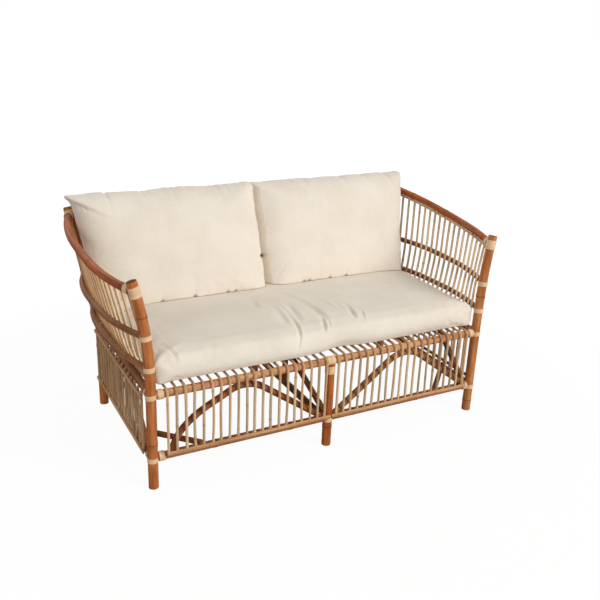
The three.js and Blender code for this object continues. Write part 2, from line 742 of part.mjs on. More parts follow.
function pillow(name, side) {
  const inner = pillowSplitOffset + side * pillowGap / 2;
  const ring = (share, face) => sharesOf(pillowOutlineSteps).slice(0, -1).map((step) => {
    const { x, y, drawn } = outlinePoint(step, pillowCornerPowerShare);
    const climb = 1 / 2 + (y * share) / 2;
    const halfWidth = THREE.MathUtils.lerp(pillowBottomWidth, pillowTopWidth, climb) / 2;
    const bulge = (1 - share ** pillowBulgePowerShare) ** pillowEdgePowerShare;
    const across = x * share * (halfWidth - cushionDrawIn * drawn);
    return pillowBase.clone().add(vector(inner + side * halfWidth + across, 0, 0))
      .addScaledVector(backUp, climb * pillowHeight)
      .addScaledVector(backInward, (1 - climb) * pillowFootForward + (face * bulge * pillowThickness) / 2);
  });
  const back = pillowRingShares.map((share) => ring(share, -1)).reverse();
  const front = pillowRingShares.map((share) => ring(share, 1));
  const middleAt = (face) => pillowBase.clone()
    .add(vector(inner + (side * (pillowBottomWidth + pillowTopWidth)) / 4, 0, 0))
    .addScaledVector(backUp, pillowHeight / 2)
    .addScaledVector(backInward, (pillowFootForward + face * pillowThickness) / 2);
  const solid = stackedRings([...back, ring(1, 1), ...front], middleAt(-1), middleAt(1));
  addPiece(name, coped(solid, [seatCushionTool]), 'canvas');
}
pillow('back_cushion_left', -1);
pillow('back_cushion_right', 1);

// The part stands centred over its origin, from its foremost strip to its back posts
const reach = new THREE.Box3().setFromObject(sofa);
sofa.position.y = -(reach.min.y + reach.max.y) / 2;

export default sofa;
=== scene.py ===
"""A rattan garden sofa: bound poles, bent cane panels, a bench cushion and two back pillows. Sizes
are in metres, with x to the right, y to the back and z up."""

import math

import bpy
import numpy as np
from mathutils import Matrix, Vector
from mathutils.bvhtree import BVHTree


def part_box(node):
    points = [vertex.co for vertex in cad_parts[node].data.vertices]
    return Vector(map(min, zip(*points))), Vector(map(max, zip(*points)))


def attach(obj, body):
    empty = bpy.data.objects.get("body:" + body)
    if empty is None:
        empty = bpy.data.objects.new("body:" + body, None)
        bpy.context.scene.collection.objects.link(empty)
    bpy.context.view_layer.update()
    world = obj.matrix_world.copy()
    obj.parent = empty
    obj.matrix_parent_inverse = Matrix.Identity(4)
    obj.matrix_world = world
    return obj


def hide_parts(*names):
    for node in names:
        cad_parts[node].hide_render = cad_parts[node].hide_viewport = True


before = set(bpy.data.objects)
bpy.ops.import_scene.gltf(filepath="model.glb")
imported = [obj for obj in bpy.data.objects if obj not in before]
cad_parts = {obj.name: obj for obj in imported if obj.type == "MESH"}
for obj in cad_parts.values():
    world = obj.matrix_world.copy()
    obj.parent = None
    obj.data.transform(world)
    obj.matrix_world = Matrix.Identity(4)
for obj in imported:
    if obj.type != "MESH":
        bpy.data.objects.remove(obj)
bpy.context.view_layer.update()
scene = bpy.context.scene
scene.view_settings.view_transform = "Standard"


# Camera
# It stands left of the sofa's middle and a little above it, at the photograph's viewing angle
# and with the photograph's slight roll, and looks at a point just over the seat.
camera_azimuth = math.radians(-28.69)
camera_elevation = math.radians(20.86)
camera_roll = math.radians(2.35)
camera_distance = 2.794
camera_aim = Vector((0.038, -0.0457, 0.425))

towards_camera = Vector((
    math.sin(camera_azimuth) * math.cos(camera_elevation),
    -math.cos(camera_azimuth) * math.cos(camera_elevation),
    math.sin(camera_elevation),
))
level_right = (-towards_camera).cross(Vector((0, 0, 1))).normalized()
level_up = level_right.cross(-towards_camera)
camera_right = level_right * math.cos(camera_roll) + level_up * math.sin(camera_roll)
camera_up = level_up * math.cos(camera_roll) - level_right * math.sin(camera_roll)

camera_data = bpy.data.cameras.new("camera")
camera_data.sensor_width = 36
camera_data.lens = 46.07
camera = bpy.data.objects.new("camera", camera_data)
scene.collection.objects.link(camera)
camera.matrix_world = Matrix.Translation(camera_aim + towards_camera * camera_distance) @ Matrix(
    (camera_right, camera_up, towards_camera)).transposed().to_4x4()
scene.camera = camera


# Studio
# A plain pale floor in an even white room, with one broad soft lamp in front and to the right, and
# weaker ones on the left and behind. The floor shows the sofa's shadow, and turns as white as the
# room further off.
class Value:
    """A node's output. Sums, products and powers of it become Math nodes, and brackets give another
    output of the same node."""

    def __init__(self, maker, socket):
        self.maker = maker
        self.socket = socket

    def __getitem__(self, output):
        return Value(self.maker, self.socket.node.outputs[output])

    def worked(self, operation, *others):
        return self.maker.node("ShaderNodeMath", {"operation": operation}, dict(enumerate((self, *others))))

    def __add__(self, other):
        return self.worked("ADD", other)

    def __sub__(self, other):
        return self.worked("SUBTRACT", other)

    def __mul__(self, other):
        return self.worked("MULTIPLY", other)

    def __truediv__(self, other):
        return self.worked("DIVIDE", other)

    def __pow__(self, other):
        return self.worked("POWER", other)

    def __neg__(self):
        return self * -1

    def __rsub__(self, other):
        return -self + other

    __radd__ = __add__
    __rmul__ = __mul__


class Nodes:
    """Adds nodes to one tree, each with its settings and with values or links at its inputs."""

    def __init__(self, tree):
        self.tree = tree
        self.tree.nodes.clear()

    def node(self, kind, settings=None, inputs=None):
        made = self.tree.nodes.new(kind)
        for name, value in (settings or {}).items():
            setattr(made, name, value)
        for name, value in (inputs or {}).items():
            if isinstance(value, Value):
                self.tree.links.new(value.socket, made.inputs[name])
            else:
                made.inputs[name].default_value = value
        return Value(self, made.outputs[0]) if len(made.outputs) else None


def srgb(red, green, blue):
    """A colour seen as these 0 to 255 values, as the linear colour that sockets hold."""
    shares = (value / 255 for value in (red, green, blue))
    return tuple(s / 12.92 if s <= 0.04045 else ((s + 0.055) / 1.055) ** 2.4 for s in shares) + (1,)


def new_material(name):
    material = bpy.data.materials.new(name)
    material.use_nodes = True
    return material, Nodes(material.node_tree)


def remapped(value, low, high, to_low=0.0, to_high=1.0):
    return value.maker.node("ShaderNodeMapRange", inputs={
        "Value": value, "From Min": low, "From Max": high, "To Min": to_low, "To Max": to_high})


white = srgb(255, 255, 255)
room_light = 0.35
world = bpy.data.worlds.new("studio")
scene.world = world
world.use_nodes = True
studio = Nodes(world.node_tree)
ray = studio.node("ShaderNodeLightPath")
seen = ray["Is Camera Ray"].worked("MAXIMUM", ray["Is Glossy Ray"])
room = studio.node("ShaderNodeBackground", inputs={
    "Color": white, "Strength": seen * (1 - room_light) + room_light})
studio.node("ShaderNodeOutputWorld", inputs={"Surface": room})

floor_material, floor_nodes = new_material("studio_floor")
floor_matt = floor_nodes.node("ShaderNodeBsdfDiffuse", inputs={"Color": srgb(186, 183, 179)})
floor_white = floor_nodes.node("ShaderNodeEmission", inputs={"Color": white, "Strength": 1.08})
away = floor_nodes.node("ShaderNodeVectorMath", {"operation": "LENGTH"}, {
    0: floor_nodes.node("ShaderNodeNewGeometry")["Position"]})["Value"]
floor_seen = floor_nodes.node("ShaderNodeLightPath")["Is Camera Ray"] * remapped(away, 1.2, 3.0, 0.88, 1.0)
floor_mix = floor_nodes.node("ShaderNodeMixShader", inputs={0: floor_seen, 1: floor_matt, 2: floor_white})
floor_nodes.node("ShaderNodeOutputMaterial", inputs={"Surface": floor_mix})

floor_half = 30
floor_mesh = bpy.data.meshes.new("studio_floor")
floor_mesh.from_pydata([(-floor_half, -floor_half, 0), (floor_half, -floor_half, 0),
                        (floor_half, floor_half, 0), (-floor_half, floor_half, 0)], [], [(0, 1, 2, 3)])
floor_mesh.materials.append(floor_material)
floor = bpy.data.objects.new("studio_floor", floor_mesh)
scene.collection.objects.link(floor)

lamp_aim = Vector((0, 0, 0.4))
for lamp_name, place, size, power in (
        ("front_right_lamp", (4.0, -6.6, 4.6), 3.8, 505),
        ("front_left_lamp", (-5.5, -3.0, 2.6), 3.0, 62),
        ("back_lamp", (-0.8, 3.0, 2.4), 2.0, 20)):
    lamp_data = bpy.data.lights.new(lamp_name, "AREA")
    lamp_data.size = size
    lamp_data.energy = power
    lamp = bpy.data.objects.new(lamp_name, lamp_data)
    scene.collection.objects.link(lamp)
    lamp.location = place
    lamp.rotation_euler = (lamp_aim - Vector(place)).to_track_quat("-Z", "Y").to_euler()


# Posts
# Five thick rattan poles and a short leg at the front stand on the floor. The front pair curve
# outwards above the seat, the back three lean back, and all keep their growth rings.
leg_span, leg_depth = 1.240, 0.600
seat_rail, arm_front, arm_back = 0.320, 0.651, 0.714
front_top, back_top = arm_front + 0.031, arm_back + 0.021
front_flare, front_setback, flare_power = 0.032, 0.014, 2.5
back_flare, back_lean = 0.061, 0.097
# The middle post and the short leg end this far under the axis of the rail that they carry.
below_top_rail, below_seat_rail = 0.012, 0.008
post_radius = 0.016
half_span, half_depth = leg_span / 2, leg_depth / 2
middle_y = sum(corner.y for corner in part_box("front_seat_rail")) / 2 + half_depth
front_y, back_y = middle_y - half_depth, middle_y + half_depth
hands = (("left", -1), ("right", 1))
# Each pole has a shift from 0 to 1, random for most. Times these, it moves its grain and its wander.
grain_shift, wander_shift = 7.3, 19.0
scar_reach = 0.0022
line_points = 60
chance = np.random.default_rng(7)


def front_post(height, side=1):
    lean = (max(0, height - seat_rail) / (arm_front - seat_rail)) ** flare_power
    return np.array((side * (half_span + front_flare * lean), front_y + front_setback * lean, height))


def back_post(height, side=1):
    lean = max(0, height - seat_rail) / (arm_back - seat_rail)
    return np.array((side * (half_span + back_flare * lean), back_y + back_lean * lean, height))


def line_tree(name, *sizes):
    """A new node tree for a mesh of lines: its input node, and the lines cut into even steps."""
    tree = bpy.data.node_groups.new(name, "GeometryNodeTree")
    tree.interface.new_socket("Geometry", in_out="OUTPUT", socket_type="NodeSocketGeometry")
    for wanted, kind in (("Geometry", "Geometry"), ("Finish", "Material"), ("Sides", "Int"),
                         *((size, "Float") for size in ("Step", *sizes))):
        tree.interface.new_socket(wanted, in_out="INPUT", socket_type="NodeSocket" + kind)
    given = Nodes(tree).node("NodeGroupInput")
    line = given.maker.node("GeometryNodeMeshToCurve", inputs={"Mesh": given["Geometry"]})
    line = given.maker.node("GeometryNodeResampleCurve", {"mode": "LENGTH"},
                            {"Curve": line, "Length": given["Step"]})
    return given, line


def stored(line, name, value, kind="FLOAT"):
    """The line with one more value on its points."""
    return line.maker.node("GeometryNodeStoreNamedAttribute", {"data_type": kind, "domain": "POINT"},
                           {"Geometry": line, "Name": name, "Value": value})


def from_points(nodes, name, kind="FLOAT"):
    return nodes.node("GeometryNodeInputNamedAttribute", {"data_type": kind}, {"Name": name})


def vector_maths(operation, first, second):
    return first.maker.node("ShaderNodeVectorMath", {"operation": operation}, {0: first, 1: second})


def bell(distance, reach):
    """1 where the distance is nothing, and less further off, along a bell curve."""
    return (-((distance / reach) ** 2)).worked("EXPONENT")


def round_section(given):
    """A circle whose points keep their place on it, so that the grain knows its way around."""
    circle = given.maker.node("GeometryNodeCurvePrimitiveCircle",
                              inputs={"Resolution": given["Sides"], "Radius": 1.0})
    return stored(circle, "section", given.maker.node("GeometryNodeInputPosition"), "FLOAT_VECTOR")


def swept(given, line, section, scale=1.0):
    """The finished tree: the section drawn along the line as a closed smooth skin."""
    nodes = given.maker
    skin = nodes.node("GeometryNodeCurveToMesh", inputs={
        "Curve": line, "Profile Curve": section, "Scale": scale, "Fill Caps": True})
    skin = nodes.node("GeometryNodeSetShadeSmooth", inputs={"Geometry": skin, "Shade Smooth": True})
    skin = nodes.node("GeometryNodeRealizeInstances", inputs={"Geometry": skin})
    skin = nodes.node("GeometryNodeSetMaterial", inputs={"Geometry": skin, "Material": given["Finish"]})
    nodes.node("NodeGroupOutput", inputs={"Geometry": skin})
    return nodes.tree


def pole_tree():
    """Turns each line of a mesh into a round pole with growth rings. The way along the pole and the
    distance to its nearest ring stay on the mesh for the grain."""
    given, line = line_tree("rattan_pole", "Ring spacing", "Ring swell", "Ring length", "Wander",
                            "Wander scale")
    nodes = given.maker
    shift = from_points(nodes, "shift")
    spline = nodes.node("GeometryNodeSplineParameter")
    turns = spline["Length"] / given["Ring spacing"] + shift
    ring = (turns.worked("FRACT") - 0.5) * given["Ring spacing"]
    line = stored(line, "ring", ring)
    line = stored(line, "along", spline["Length"] + shift * grain_shift)
    drift = nodes.node("ShaderNodeTexNoise", {"noise_dimensions": "4D"}, {
        "Vector": nodes.node("GeometryNodeInputPosition"), "W": shift * wander_shift,
        "Scale": given["Wander scale"], "Detail": 1.0})["Color"]
    hold = (spline["Factor"] * math.pi).worked("SINE")
    drift = nodes.node("ShaderNodeVectorMath", {"operation": "SCALE"}, {
        0: vector_maths("SUBTRACT", drift, (0.5, 0.5, 0.5)), "Scale": hold * given["Wander"]})
    line = nodes.node("GeometryNodeSetPosition", inputs={"Geometry": line, "Offset": drift})
    swelling = bell(ring, given["Ring length"]) * given["Ring swell"] + 1
    return swept(given, line, round_section(given), from_points(nodes, "thickness") * swelling)


def keep_on(mesh, name, values):
    """Keeps a number or a vector for each point of the mesh."""
    kind, field = ("FLOAT_VECTOR", "vector") if values.ndim == 2 else ("FLOAT", "value")
    mesh.attributes.new(name, kind, "POINT").data.foreach_set(field, values.astype(np.float32).ravel())


def lines_mesh(name, lines):
    """A mesh of open lines. Each line is its points and a dict of what its points carry."""
    points = [tuple(point) for line, _ in lines for point in line]
    edges, start = [], 0
    for line, _ in lines:
        edges += [(start + step, start + step + 1) for step in range(len(line) - 1)]
        start += len(line)
    mesh = bpy.data.meshes.new(name)
    mesh.from_pydata(points, edges, [])
    for key in lines[0][1]:
        keep_on(mesh, key, np.concatenate([
            np.broadcast_to(carried[key], (len(line), 3) if key == "out" else (len(line),))
            for line, carried in lines]))
    return mesh


def riding(name, mesh, replaced=()):
    """Makes the mesh a piece that rides on the sofa, in place of the CAD nodes that it replaces."""
    mesh.name = name
    piece = bpy.data.objects.new(name, mesh)
    scene.collection.objects.link(piece)
    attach(piece, "root")
    if replaced:
        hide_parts(*replaced)


def evaluated(holder):
    """A plain copy of an object's mesh as its modifiers leave it. The object itself goes."""
    graph = bpy.context.evaluated_depsgraph_get()
    made = bpy.data.meshes.new_from_object(holder.evaluated_get(graph), depsgraph=graph)
    bpy.data.objects.remove(holder)
    return made


def grown(name, lines, tree, settings, replaced=()):
    """Makes the piece that a node tree grows from lines, and gives its mesh. The tree's inputs are
    set by their identifiers, which their names lead to."""
    holder = bpy.data.objects.new(name + "_lines", lines_mesh(name, lines))
    scene.collection.objects.link(holder)
    modifier = holder.modifiers.new("grow", "NODES")
    modifier.node_group = tree
    for item in tree.interface.items_tree:
        if item.in_out == "INPUT" and item.name in settings:
            modifier[item.identifier] = settings[item.name]
    mesh = evaluated(holder)
    riding(name, mesh, replaced)
    return mesh


def noise(place, scale, detail, roughness=0.5):
    return place.maker.node("ShaderNodeTexNoise", inputs={
        "Vector": place, "Scale": scale, "Detail": detail, "Roughness": roughness})


def mixed(share, first, second):
    """A blend of two colours, which are inputs 6 and 7 of the node. Its output 2 is the colour."""
    return share.maker.node("ShaderNodeMix", {"data_type": "RGBA"}, {0: share, 6: first, 7: second})[2]


def on_mesh(nodes, name, output="Fac"):
    return nodes.node("ShaderNodeAttribute", {"attribute_name": name})[output]


def rattan_finish(name, body, deep, streak, scar, gloss=0.38, variety=0.0):
    """Varnished rattan skin in four colours from 0 to 255: long fibres, slow blotches, and a dark
    scar at each growth ring. With variety, some poles are paler than others."""
    material, nodes = new_material(name)
    way = nodes.node("ShaderNodeCombineXYZ", inputs={"Z": on_mesh(nodes, "along")})
    skin = vector_maths("ADD", on_mesh(nodes, "section", "Vector"), way)

    def fibres(around, lengthwise, detail):
        stretched = vector_maths("MULTIPLY", skin, (around, around, lengthwise))
        return noise(stretched, 1.0, detail, roughness=0.6)

    blotches, streaks, fine = fibres(0.7, 7.0, 2.0), fibres(2.6, 5.0, 4.0), fibres(16.0, 30.0, 2.0)
    scar_line = bell(on_mesh(nodes, "ring"), scar_reach)
    colour = mixed(remapped(blotches, 0.36, 0.66), srgb(*body), srgb(*deep))
    colour = mixed(remapped(streaks, 0.5, 0.72) * 0.65, colour, srgb(*streak))
    colour = mixed(scar_line * 0.6, colour, srgb(*scar))
    # Painted shade: faces of the canes that point outward or upward are mixed towards brown.
    colour = mixed(on_mesh(nodes, "outer_painted_shade") * 0.8, colour, srgb(186, 138, 90))
    grain = remapped(fine, 0.3, 0.75, 0.86, 1.1)
    if variety:
        grain = grain * ((on_mesh(nodes, "shift") - 0.5) * variety + 1)
    grey = nodes.node("ShaderNodeCombineColor", inputs={0: grain, 1: grain, 2: grain})
    colour = nodes.node("ShaderNodeMix", {"data_type": "RGBA", "blend_type": "MULTIPLY"},
                        {0: 1.0, 6: colour, 7: grey})[2]
    relief = nodes.node("ShaderNodeBump", inputs={
        "Strength": 0.35, "Distance": 0.001, "Height": fine * 0.5 + streaks * 0.4 - scar_line})
    shader = nodes.node("ShaderNodeBsdfPrincipled", inputs={
        "Base Color": colour, "Roughness": fine * 0.25 + gloss, "Normal": relief, "IOR": 1.45,
        "Specular IOR Level": 0.2})
    nodes.node("ShaderNodeOutputMaterial", inputs={"Surface": shader})
    return material


pole_finish = rattan_finish("varnished_pole", (202, 124, 68), (154, 80, 38), (222, 160, 102), (84, 40, 20))
golden_finish = rattan_finish("golden_pole", (204, 134, 78), (168, 94, 48), (228, 174, 116), (90, 46, 24))
arm_finish = rattan_finish("reddish_pole", (186, 102, 48), (142, 70, 30), (210, 140, 80), (78, 38, 20))
rattan_pole = pole_tree()


def pole_piece(name, points, radius, finish, node, spacing=0.27, shift=None, sides=20):
    """One round pole along its points, which takes the place of one CAD node."""
    lines = [(points, {"thickness": radius, "shift": chance.random() if shift is None else shift})]
    grown(name, lines, rattan_pole, {
        "Sides": sides, "Step": 0.006, "Ring spacing": spacing, "Ring swell": 0.07, "Ring length": 0.007,
        "Wander": 0.0015, "Wander scale": 4.0, "Finish": finish}, [node])


for (hand, side), front_finish, front_shift in zip(hands, (pole_finish, golden_finish), (0.131, 0.4)):
    front_line = [front_post(height, side) for height in np.linspace(0, front_top, line_points)]
    pole_piece(f"front_pole_{hand}", front_line, post_radius, front_finish, f"front_post_{hand}",
               spacing=0.42, shift=front_shift)
    back_line = [back_post(height, side) for height in np.linspace(0, back_top, line_points)]
    pole_piece(f"back_pole_{hand}", back_line, post_radius, pole_finish, f"back_post_{hand}")
centre_line = [back_post(height) * (0, 1, 1)
               for height in np.linspace(0, arm_back - below_top_rail, line_points)]
pole_piece("back_centre_pole", centre_line, post_radius, pole_finish, "back_centre_post")
leg_line = [(0, front_y, height) for height in np.linspace(0, seat_rail - below_seat_rail, 30)]
pole_piece("front_centre_pole", leg_line, post_radius, arm_finish, "front_centre_leg")


# Arm, middle and lower rails
# Thinner poles, steamed and bent outwards in a bow from the front post to the back post, carry
# the arm panels. Straight ones cross the back behind the pillows.
lower_rail, lower_rail_back, mid_rail = 0.409, 0.395, 0.510
arm_bow, mid_bow, lower_bow, bow_power, arm_sag = 0.055, 0.060, 0.046, 2.6, 0.009
rail_radius, slim_radius = 0.013, 0.010
# The bent rails leave out this share of their way at each end, the straight ones this length.
bent_end_share, back_rail_end = 0.014, 0.012


def bowed(front_height, back_height, bow, sag=0.0):
    """Points of a bowed side rail on the right, as a function of the share of its length."""
    front, back = front_post(front_height), back_post(back_height)

    def at(share):
        swell = 1 - abs(2 * share - 1) ** bow_power
        return front + (back - front) * share + np.array((bow * swell, 0, -sag * swell))
    return at


arm_rail = bowed(arm_front, arm_back, arm_bow, arm_sag)
middle_rail = bowed(mid_rail, mid_rail, mid_bow)
low_side_rail = bowed(lower_rail, lower_rail_back, lower_bow)
dull_finish = rattan_finish("dull_pole", (164, 108, 68), (124, 74, 42), (188, 138, 94), (70, 40, 24))

for hand, side in hands:
    for name, rail_at, radius, finish in (("arm_rail", arm_rail, rail_radius, arm_finish),
                                          ("side_mid_rail", middle_rail, slim_radius, dull_finish),
                                          ("side_lower_rail", low_side_rail, slim_radius, dull_finish)):
        bent_line = [rail_at(share) * (side, 1, 1)
                     for share in np.linspace(bent_end_share, 1 - bent_end_share, line_points)]
        pole_piece(f"bent_{name}_{hand}", bent_line, radius, finish, f"{name}_{hand}",
                   spacing=0.21, sides=18)

top_line = [back_post(arm_back, -1) + (back_rail_end, 0, 0), back_post(arm_back) - (back_rail_end, 0, 0)]
pole_piece("back_top_pole", top_line, rail_radius, arm_finish, "back_top_rail")
for name, height in (("back_lower_rail", lower_rail_back), ("back_mid_rail", mid_rail)):
    for hand, side in hands:
        end, step = back_post(height, side), np.array((side * back_rail_end, 0, 0))
        pole_piece(f"{name}_pole_{hand}", [end - step, end * (0, 1, 1) + step], rail_radius, arm_finish,
                   f"{name}_{hand}")


# Seat box rails
# Straight poles, nailed between the posts, make the box under the seat: along its four sides at
# the seat and near the floor, and one across the middle that the deck canes rest on.
low_rail = 0.106
box_rail_end = 0.014
box_reach = half_span - box_rail_end
deck_support_y = middle_y + 0.005
rail_finish = rattan_finish("pale_pole", (218, 160, 112), (182, 116, 72), (234, 192, 146), (116, 68, 40),
                            gloss=0.42)
bottom_finish = rattan_finish("red_brown_pole", (196, 118, 76), (158, 86, 50), (214, 152, 106), (90, 48, 26),
                              gloss=0.42)


def box_rail(name, start, end, finish, node):
    pole_piece(name, [start, end], rail_radius, finish, node, sides=18)


for name, y in (("front_seat_rail", front_y), ("deck_support_rail", deck_support_y)):
    box_rail(f"{name}_pole", (-box_reach, y, seat_rail), (box_reach, y, seat_rail), rail_finish, name)
for name, y, height, finish in (("front_bottom_rail", front_y, low_rail, bottom_finish),
                                ("back_bottom_rail", back_y, low_rail, bottom_finish),
                                ("back_seat_rail", back_y, seat_rail, rail_finish)):
    for hand, side in hands:
        box_rail(f"{name}_pole_{hand}", (side * box_reach, y, height), (side * box_rail_end, y, height),
                 finish, f"{name}_{hand}")
for name, height, finish in (("side_seat_rail", seat_rail, dull_finish),
                             ("side_bottom_rail", low_rail, bottom_finish)):
    for hand, side in hands:
        box_rail(f"{name}_pole_{hand}", (side * half_span, front_y + box_rail_end, height),
                 (side * half_span, back_y - box_rail_end, height), finish, f"{name}_{hand}")


# Braces
# Darker, rougher poles stiffen the box: arches bent over steam under the seat rails, straight
# braces across its corners, and a rail, a low arch and a short post in the middle.
brace_finish = rattan_finish("dark_pole", (164, 104, 60), (112, 64, 34), (190, 136, 86), (58, 32, 18),
                             gloss=0.5)
light_brace_finish = rattan_finish("light_brace_pole", (190, 132, 82), (146, 92, 52), (208, 160, 110),
                                   (70, 40, 24), gloss=0.5)
red_brace_finish = rattan_finish("red_brace_pole", (172, 100, 56), (120, 62, 32), (196, 136, 88),
                                 (60, 32, 18), gloss=0.5)
clearance = 0.0003
arch_radius, brace_radius, crown_radius = 0.011, 0.010, 0.115
crown_height = seat_rail - rail_radius - arch_radius
arch_foot, arch_inner_end, right_arch_end, left_knee = 0.011, 0.011, 0.021, 0.063
side_arch_end, centre_arch_end, centre_arch_top = 0.042, 0.010, 0.198
cross_height, cross_end = low_rail - 0.016, 0.012
beside_centre = arch_radius + clearance
deck_post_end = 0.010
brace_reach, brace_end, brace_height = 0.165, 0.004, low_rail + 0.012


def arch_outline(half_width, rise, knee):
    """Straight legs up to a round crown. A knee bends the left leg to a foot further in."""
    centre = rise - crown_radius
    tangent = math.acos(crown_radius / math.hypot(half_width, centre))
    start = math.pi + math.atan2(centre, half_width) - tangent
    crown = [np.array((crown_radius * math.cos(angle), centre + crown_radius * math.sin(angle)))
             for angle in np.linspace(start, math.pi - start, 13)]
    foot = np.array((knee - half_width, 0))
    bend = foot + (0, knee / math.tan(start - math.pi / 2))
    above = bend + (crown[0] - bend) * 0.85
    shares = np.linspace(0, 1, 9) if knee else (0,)
    leg = [foot * (1 - share) ** 2 + bend * 2 * share * (1 - share) + above * share ** 2 for share in shares]
    return leg + crown + [(half_width, 0)]


def softened(points, rounds=3, cut=0.03):
    """Cuts the corners of a line, as a pole bends and doesn't kink."""
    points = [np.asarray(point, float) for point in points]
    for _ in range(rounds):
        softer = [points[0]]
        for first, second in zip(points, points[1:]):
            near = min(0.25, cut / max(np.linalg.norm(second - first), 1e-6))
            softer += [first + (second - first) * near, second - (second - first) * near]
        points = softer + [points[-1]]
    return points


def arch(name, start, end, top=crown_height, knee=0.0, finish=brace_finish):
    """A bent arch between two places. Its feet are cut off where they would pass into the rail."""
    start, end = np.array(start), np.array(end)
    along = (end - start) / np.linalg.norm(end - start)
    outline = arch_outline(np.linalg.norm(end - start) / 2, top - start[2], knee)
    points = softened([(start + end) / 2 + along * x + np.array((0, 0, z)) for x, z in outline])
    for index, towards in ((0, 1), (-1, -1)):
        run = points[index + towards] - points[index]
        points[index] = points[index] + run * min(0.8, arch_foot / max(abs(run[2]), 1e-6))
    pole_piece(name + "_pole", points, arch_radius, finish, name, spacing=0.24, sides=16)


for place, y, left_finish, right_finish in (("front", front_y, red_brace_finish, light_brace_finish),
                                            ("back", back_y, brace_finish, brace_finish)):
    arch(f"{place}_arch_left", (-half_span, y, low_rail), (-arch_inner_end, y, low_rail), knee=left_knee,
         finish=left_finish)
    arch(f"{place}_arch_right", (arch_inner_end, y, low_rail), (half_span - right_arch_end, y, low_rail),
         finish=right_finish)
for hand, side in hands:
    arch(f"side_arch_{hand}", (side * half_span, front_y + side_arch_end, low_rail),
         (side * half_span, back_y - side_arch_end, low_rail))
arch("centre_arch", (beside_centre, front_y + centre_arch_end, cross_height),
     (beside_centre, back_y - centre_arch_end, cross_height), top=centre_arch_top)

for hand, side in hands:
    for place, y, towards in (("front", front_y, 1), ("back", back_y, -1)):
        across = [(side * (half_span - brace_reach + brace_end), y + towards * brace_end, brace_height),
                  (side * (half_span - brace_end), y + towards * (brace_reach - brace_end), brace_height)]
        pole_piece(f"{place}_corner_pole_{hand}", across, brace_radius, brace_finish,
                   f"{place}_corner_brace_{hand}", sides=16)
pole_piece("centre_cross_pole", [(0, front_y + cross_end, cross_height),
                                 (0, back_y - cross_end, cross_height)],
           rail_radius, brace_finish, "centre_cross_rail", sides=16)
pole_piece("short_deck_pole", [(-beside_centre, deck_support_y, cross_height + deck_post_end),
                               (-beside_centre, deck_support_y, seat_rail - deck_post_end)],
           arch_radius, brace_finish, "centre_deck_post", sides=16)


# Cane panels
# Thin natural canes, sorted pale. Forty of them climb the front, bend over the seat rail and run
# back under the cushion as its deck. Straight ones fill the sides and the back, bent ones the arms.
cane_radius = 0.0045
off_rail = rail_radius + cane_radius + clearance
off_slim_rail = slim_radius + cane_radius + clearance
cane_foot, cane_tail, deck_tail = low_rail + 0.006, 0.002, 0.006
cane_sway, cane_lean = 0.0016, 0.0012
front_pitch, side_pitch = 0.029, 0.034
# The first cane of a panel stands this far from the axis of its post or of the middle leg. At the
# back, none stands nearer the middle than past_leg.
front_left_first, front_right_first, beside_leg = 0.046, 0.054, 0.023
side_first, back_first, past_leg = 0.038, 0.046, 0.0224
cane_finish = rattan_finish("natural_cane", (234, 210, 174), (198, 156, 110), (242, 228, 202), (132, 100, 66),
                            gloss=0.45, variety=0.4)


def spread(start, end, pitch):
    return np.linspace(start, end, max(1, round((end - start) / pitch)) + 1)


def normals_of(mesh):
    values = np.empty(len(mesh.vertices) * 3, np.float32)
    mesh.vertex_normals.foreach_get("vector", values)
    return values.reshape(-1, 3).astype(float)


def canes(name, paths, node, wander=0.0012, outward=(0, 0, 1)):
    """Canes of slightly different thickness, each along its own points. Their outer or upper side
    is given painted shade, a browner colour, so the mesh keeps a mark of how far each point faces that way."""
    lines = [(path, {"thickness": cane_radius * chance.uniform(0.9, 1.06), "shift": chance.random()})
             for path in paths]
    mesh = grown(name, lines, rattan_pole, {
        "Sides": 10, "Step": 0.012, "Ring spacing": 0.31, "Ring swell": 0.12, "Ring length": 0.005,
        "Wander": wander, "Wander scale": 6.0, "Finish": cane_finish}, [node])
    # How far each point faces outward, which sets how much painted shade it gets.
    keep_on(mesh, "outer_painted_shade", np.clip(normals_of(mesh) @ np.array(outward) * 1.6 + 0.3, 0, 1))


def front_cane(x):
    """Up the front, over the seat rail in a quarter turn, and back to the back seat rail."""
    sway, lean = chance.normal(0, cane_sway), chance.normal(0, cane_lean)
    path = [(x + lean * (1 - t) + sway * math.sin(math.pi * t), front_y - off_rail,
             cane_foot + (seat_rail - cane_foot) * t) for t in np.linspace(0, 1, 12)]
    for angle in np.linspace(0, math.pi / 2, 7)[1:]:
        path.append((x, front_y - off_rail * math.cos(angle), seat_rail + off_rail * math.sin(angle)))
    return path + [(x, back_y + deck_tail, seat_rail + off_rail)]


front_places = {"left": spread(front_left_first - half_span, -beside_leg, front_pitch),
                "right": spread(beside_leg, half_span - front_right_first, front_pitch)}
for hand, places in front_places.items():
    canes(f"front_canes_{hand}", [front_cane(x) for x in places], f"front_spindles_{hand}")


def upright_canes(name, centre, outward, places, node):
    """Straight canes against the outside of the two seat box rails of one side."""
    along = np.cross((0, 0, 1), outward)
    paths = []
    for place in places:
        foot = np.array(centre) + np.array(outward) * off_rail + along * (place + chance.normal(0, 0.0004))
        paths.append([foot + (0, 0, height) for height in np.linspace(cane_foot, seat_rail + cane_tail, 10)])
    canes(name, paths, node, wander=0.0006, outward=outward)


side_places = spread(side_first - half_depth, half_depth - side_first, side_pitch)
back_places = [place for place in spread(back_first - half_span, half_span - back_first, side_pitch)
               if abs(place) > past_leg]
for hand, side in hands:
    upright_canes(f"side_canes_{hand}", (side * half_span, middle_y, 0), (side, 0, 0), side_places,
                  f"side_lower_spindles_{hand}")
upright_canes("back_canes_low", (0, back_y, 0), (0, 1, 0), back_places, "back_lower_spindles")

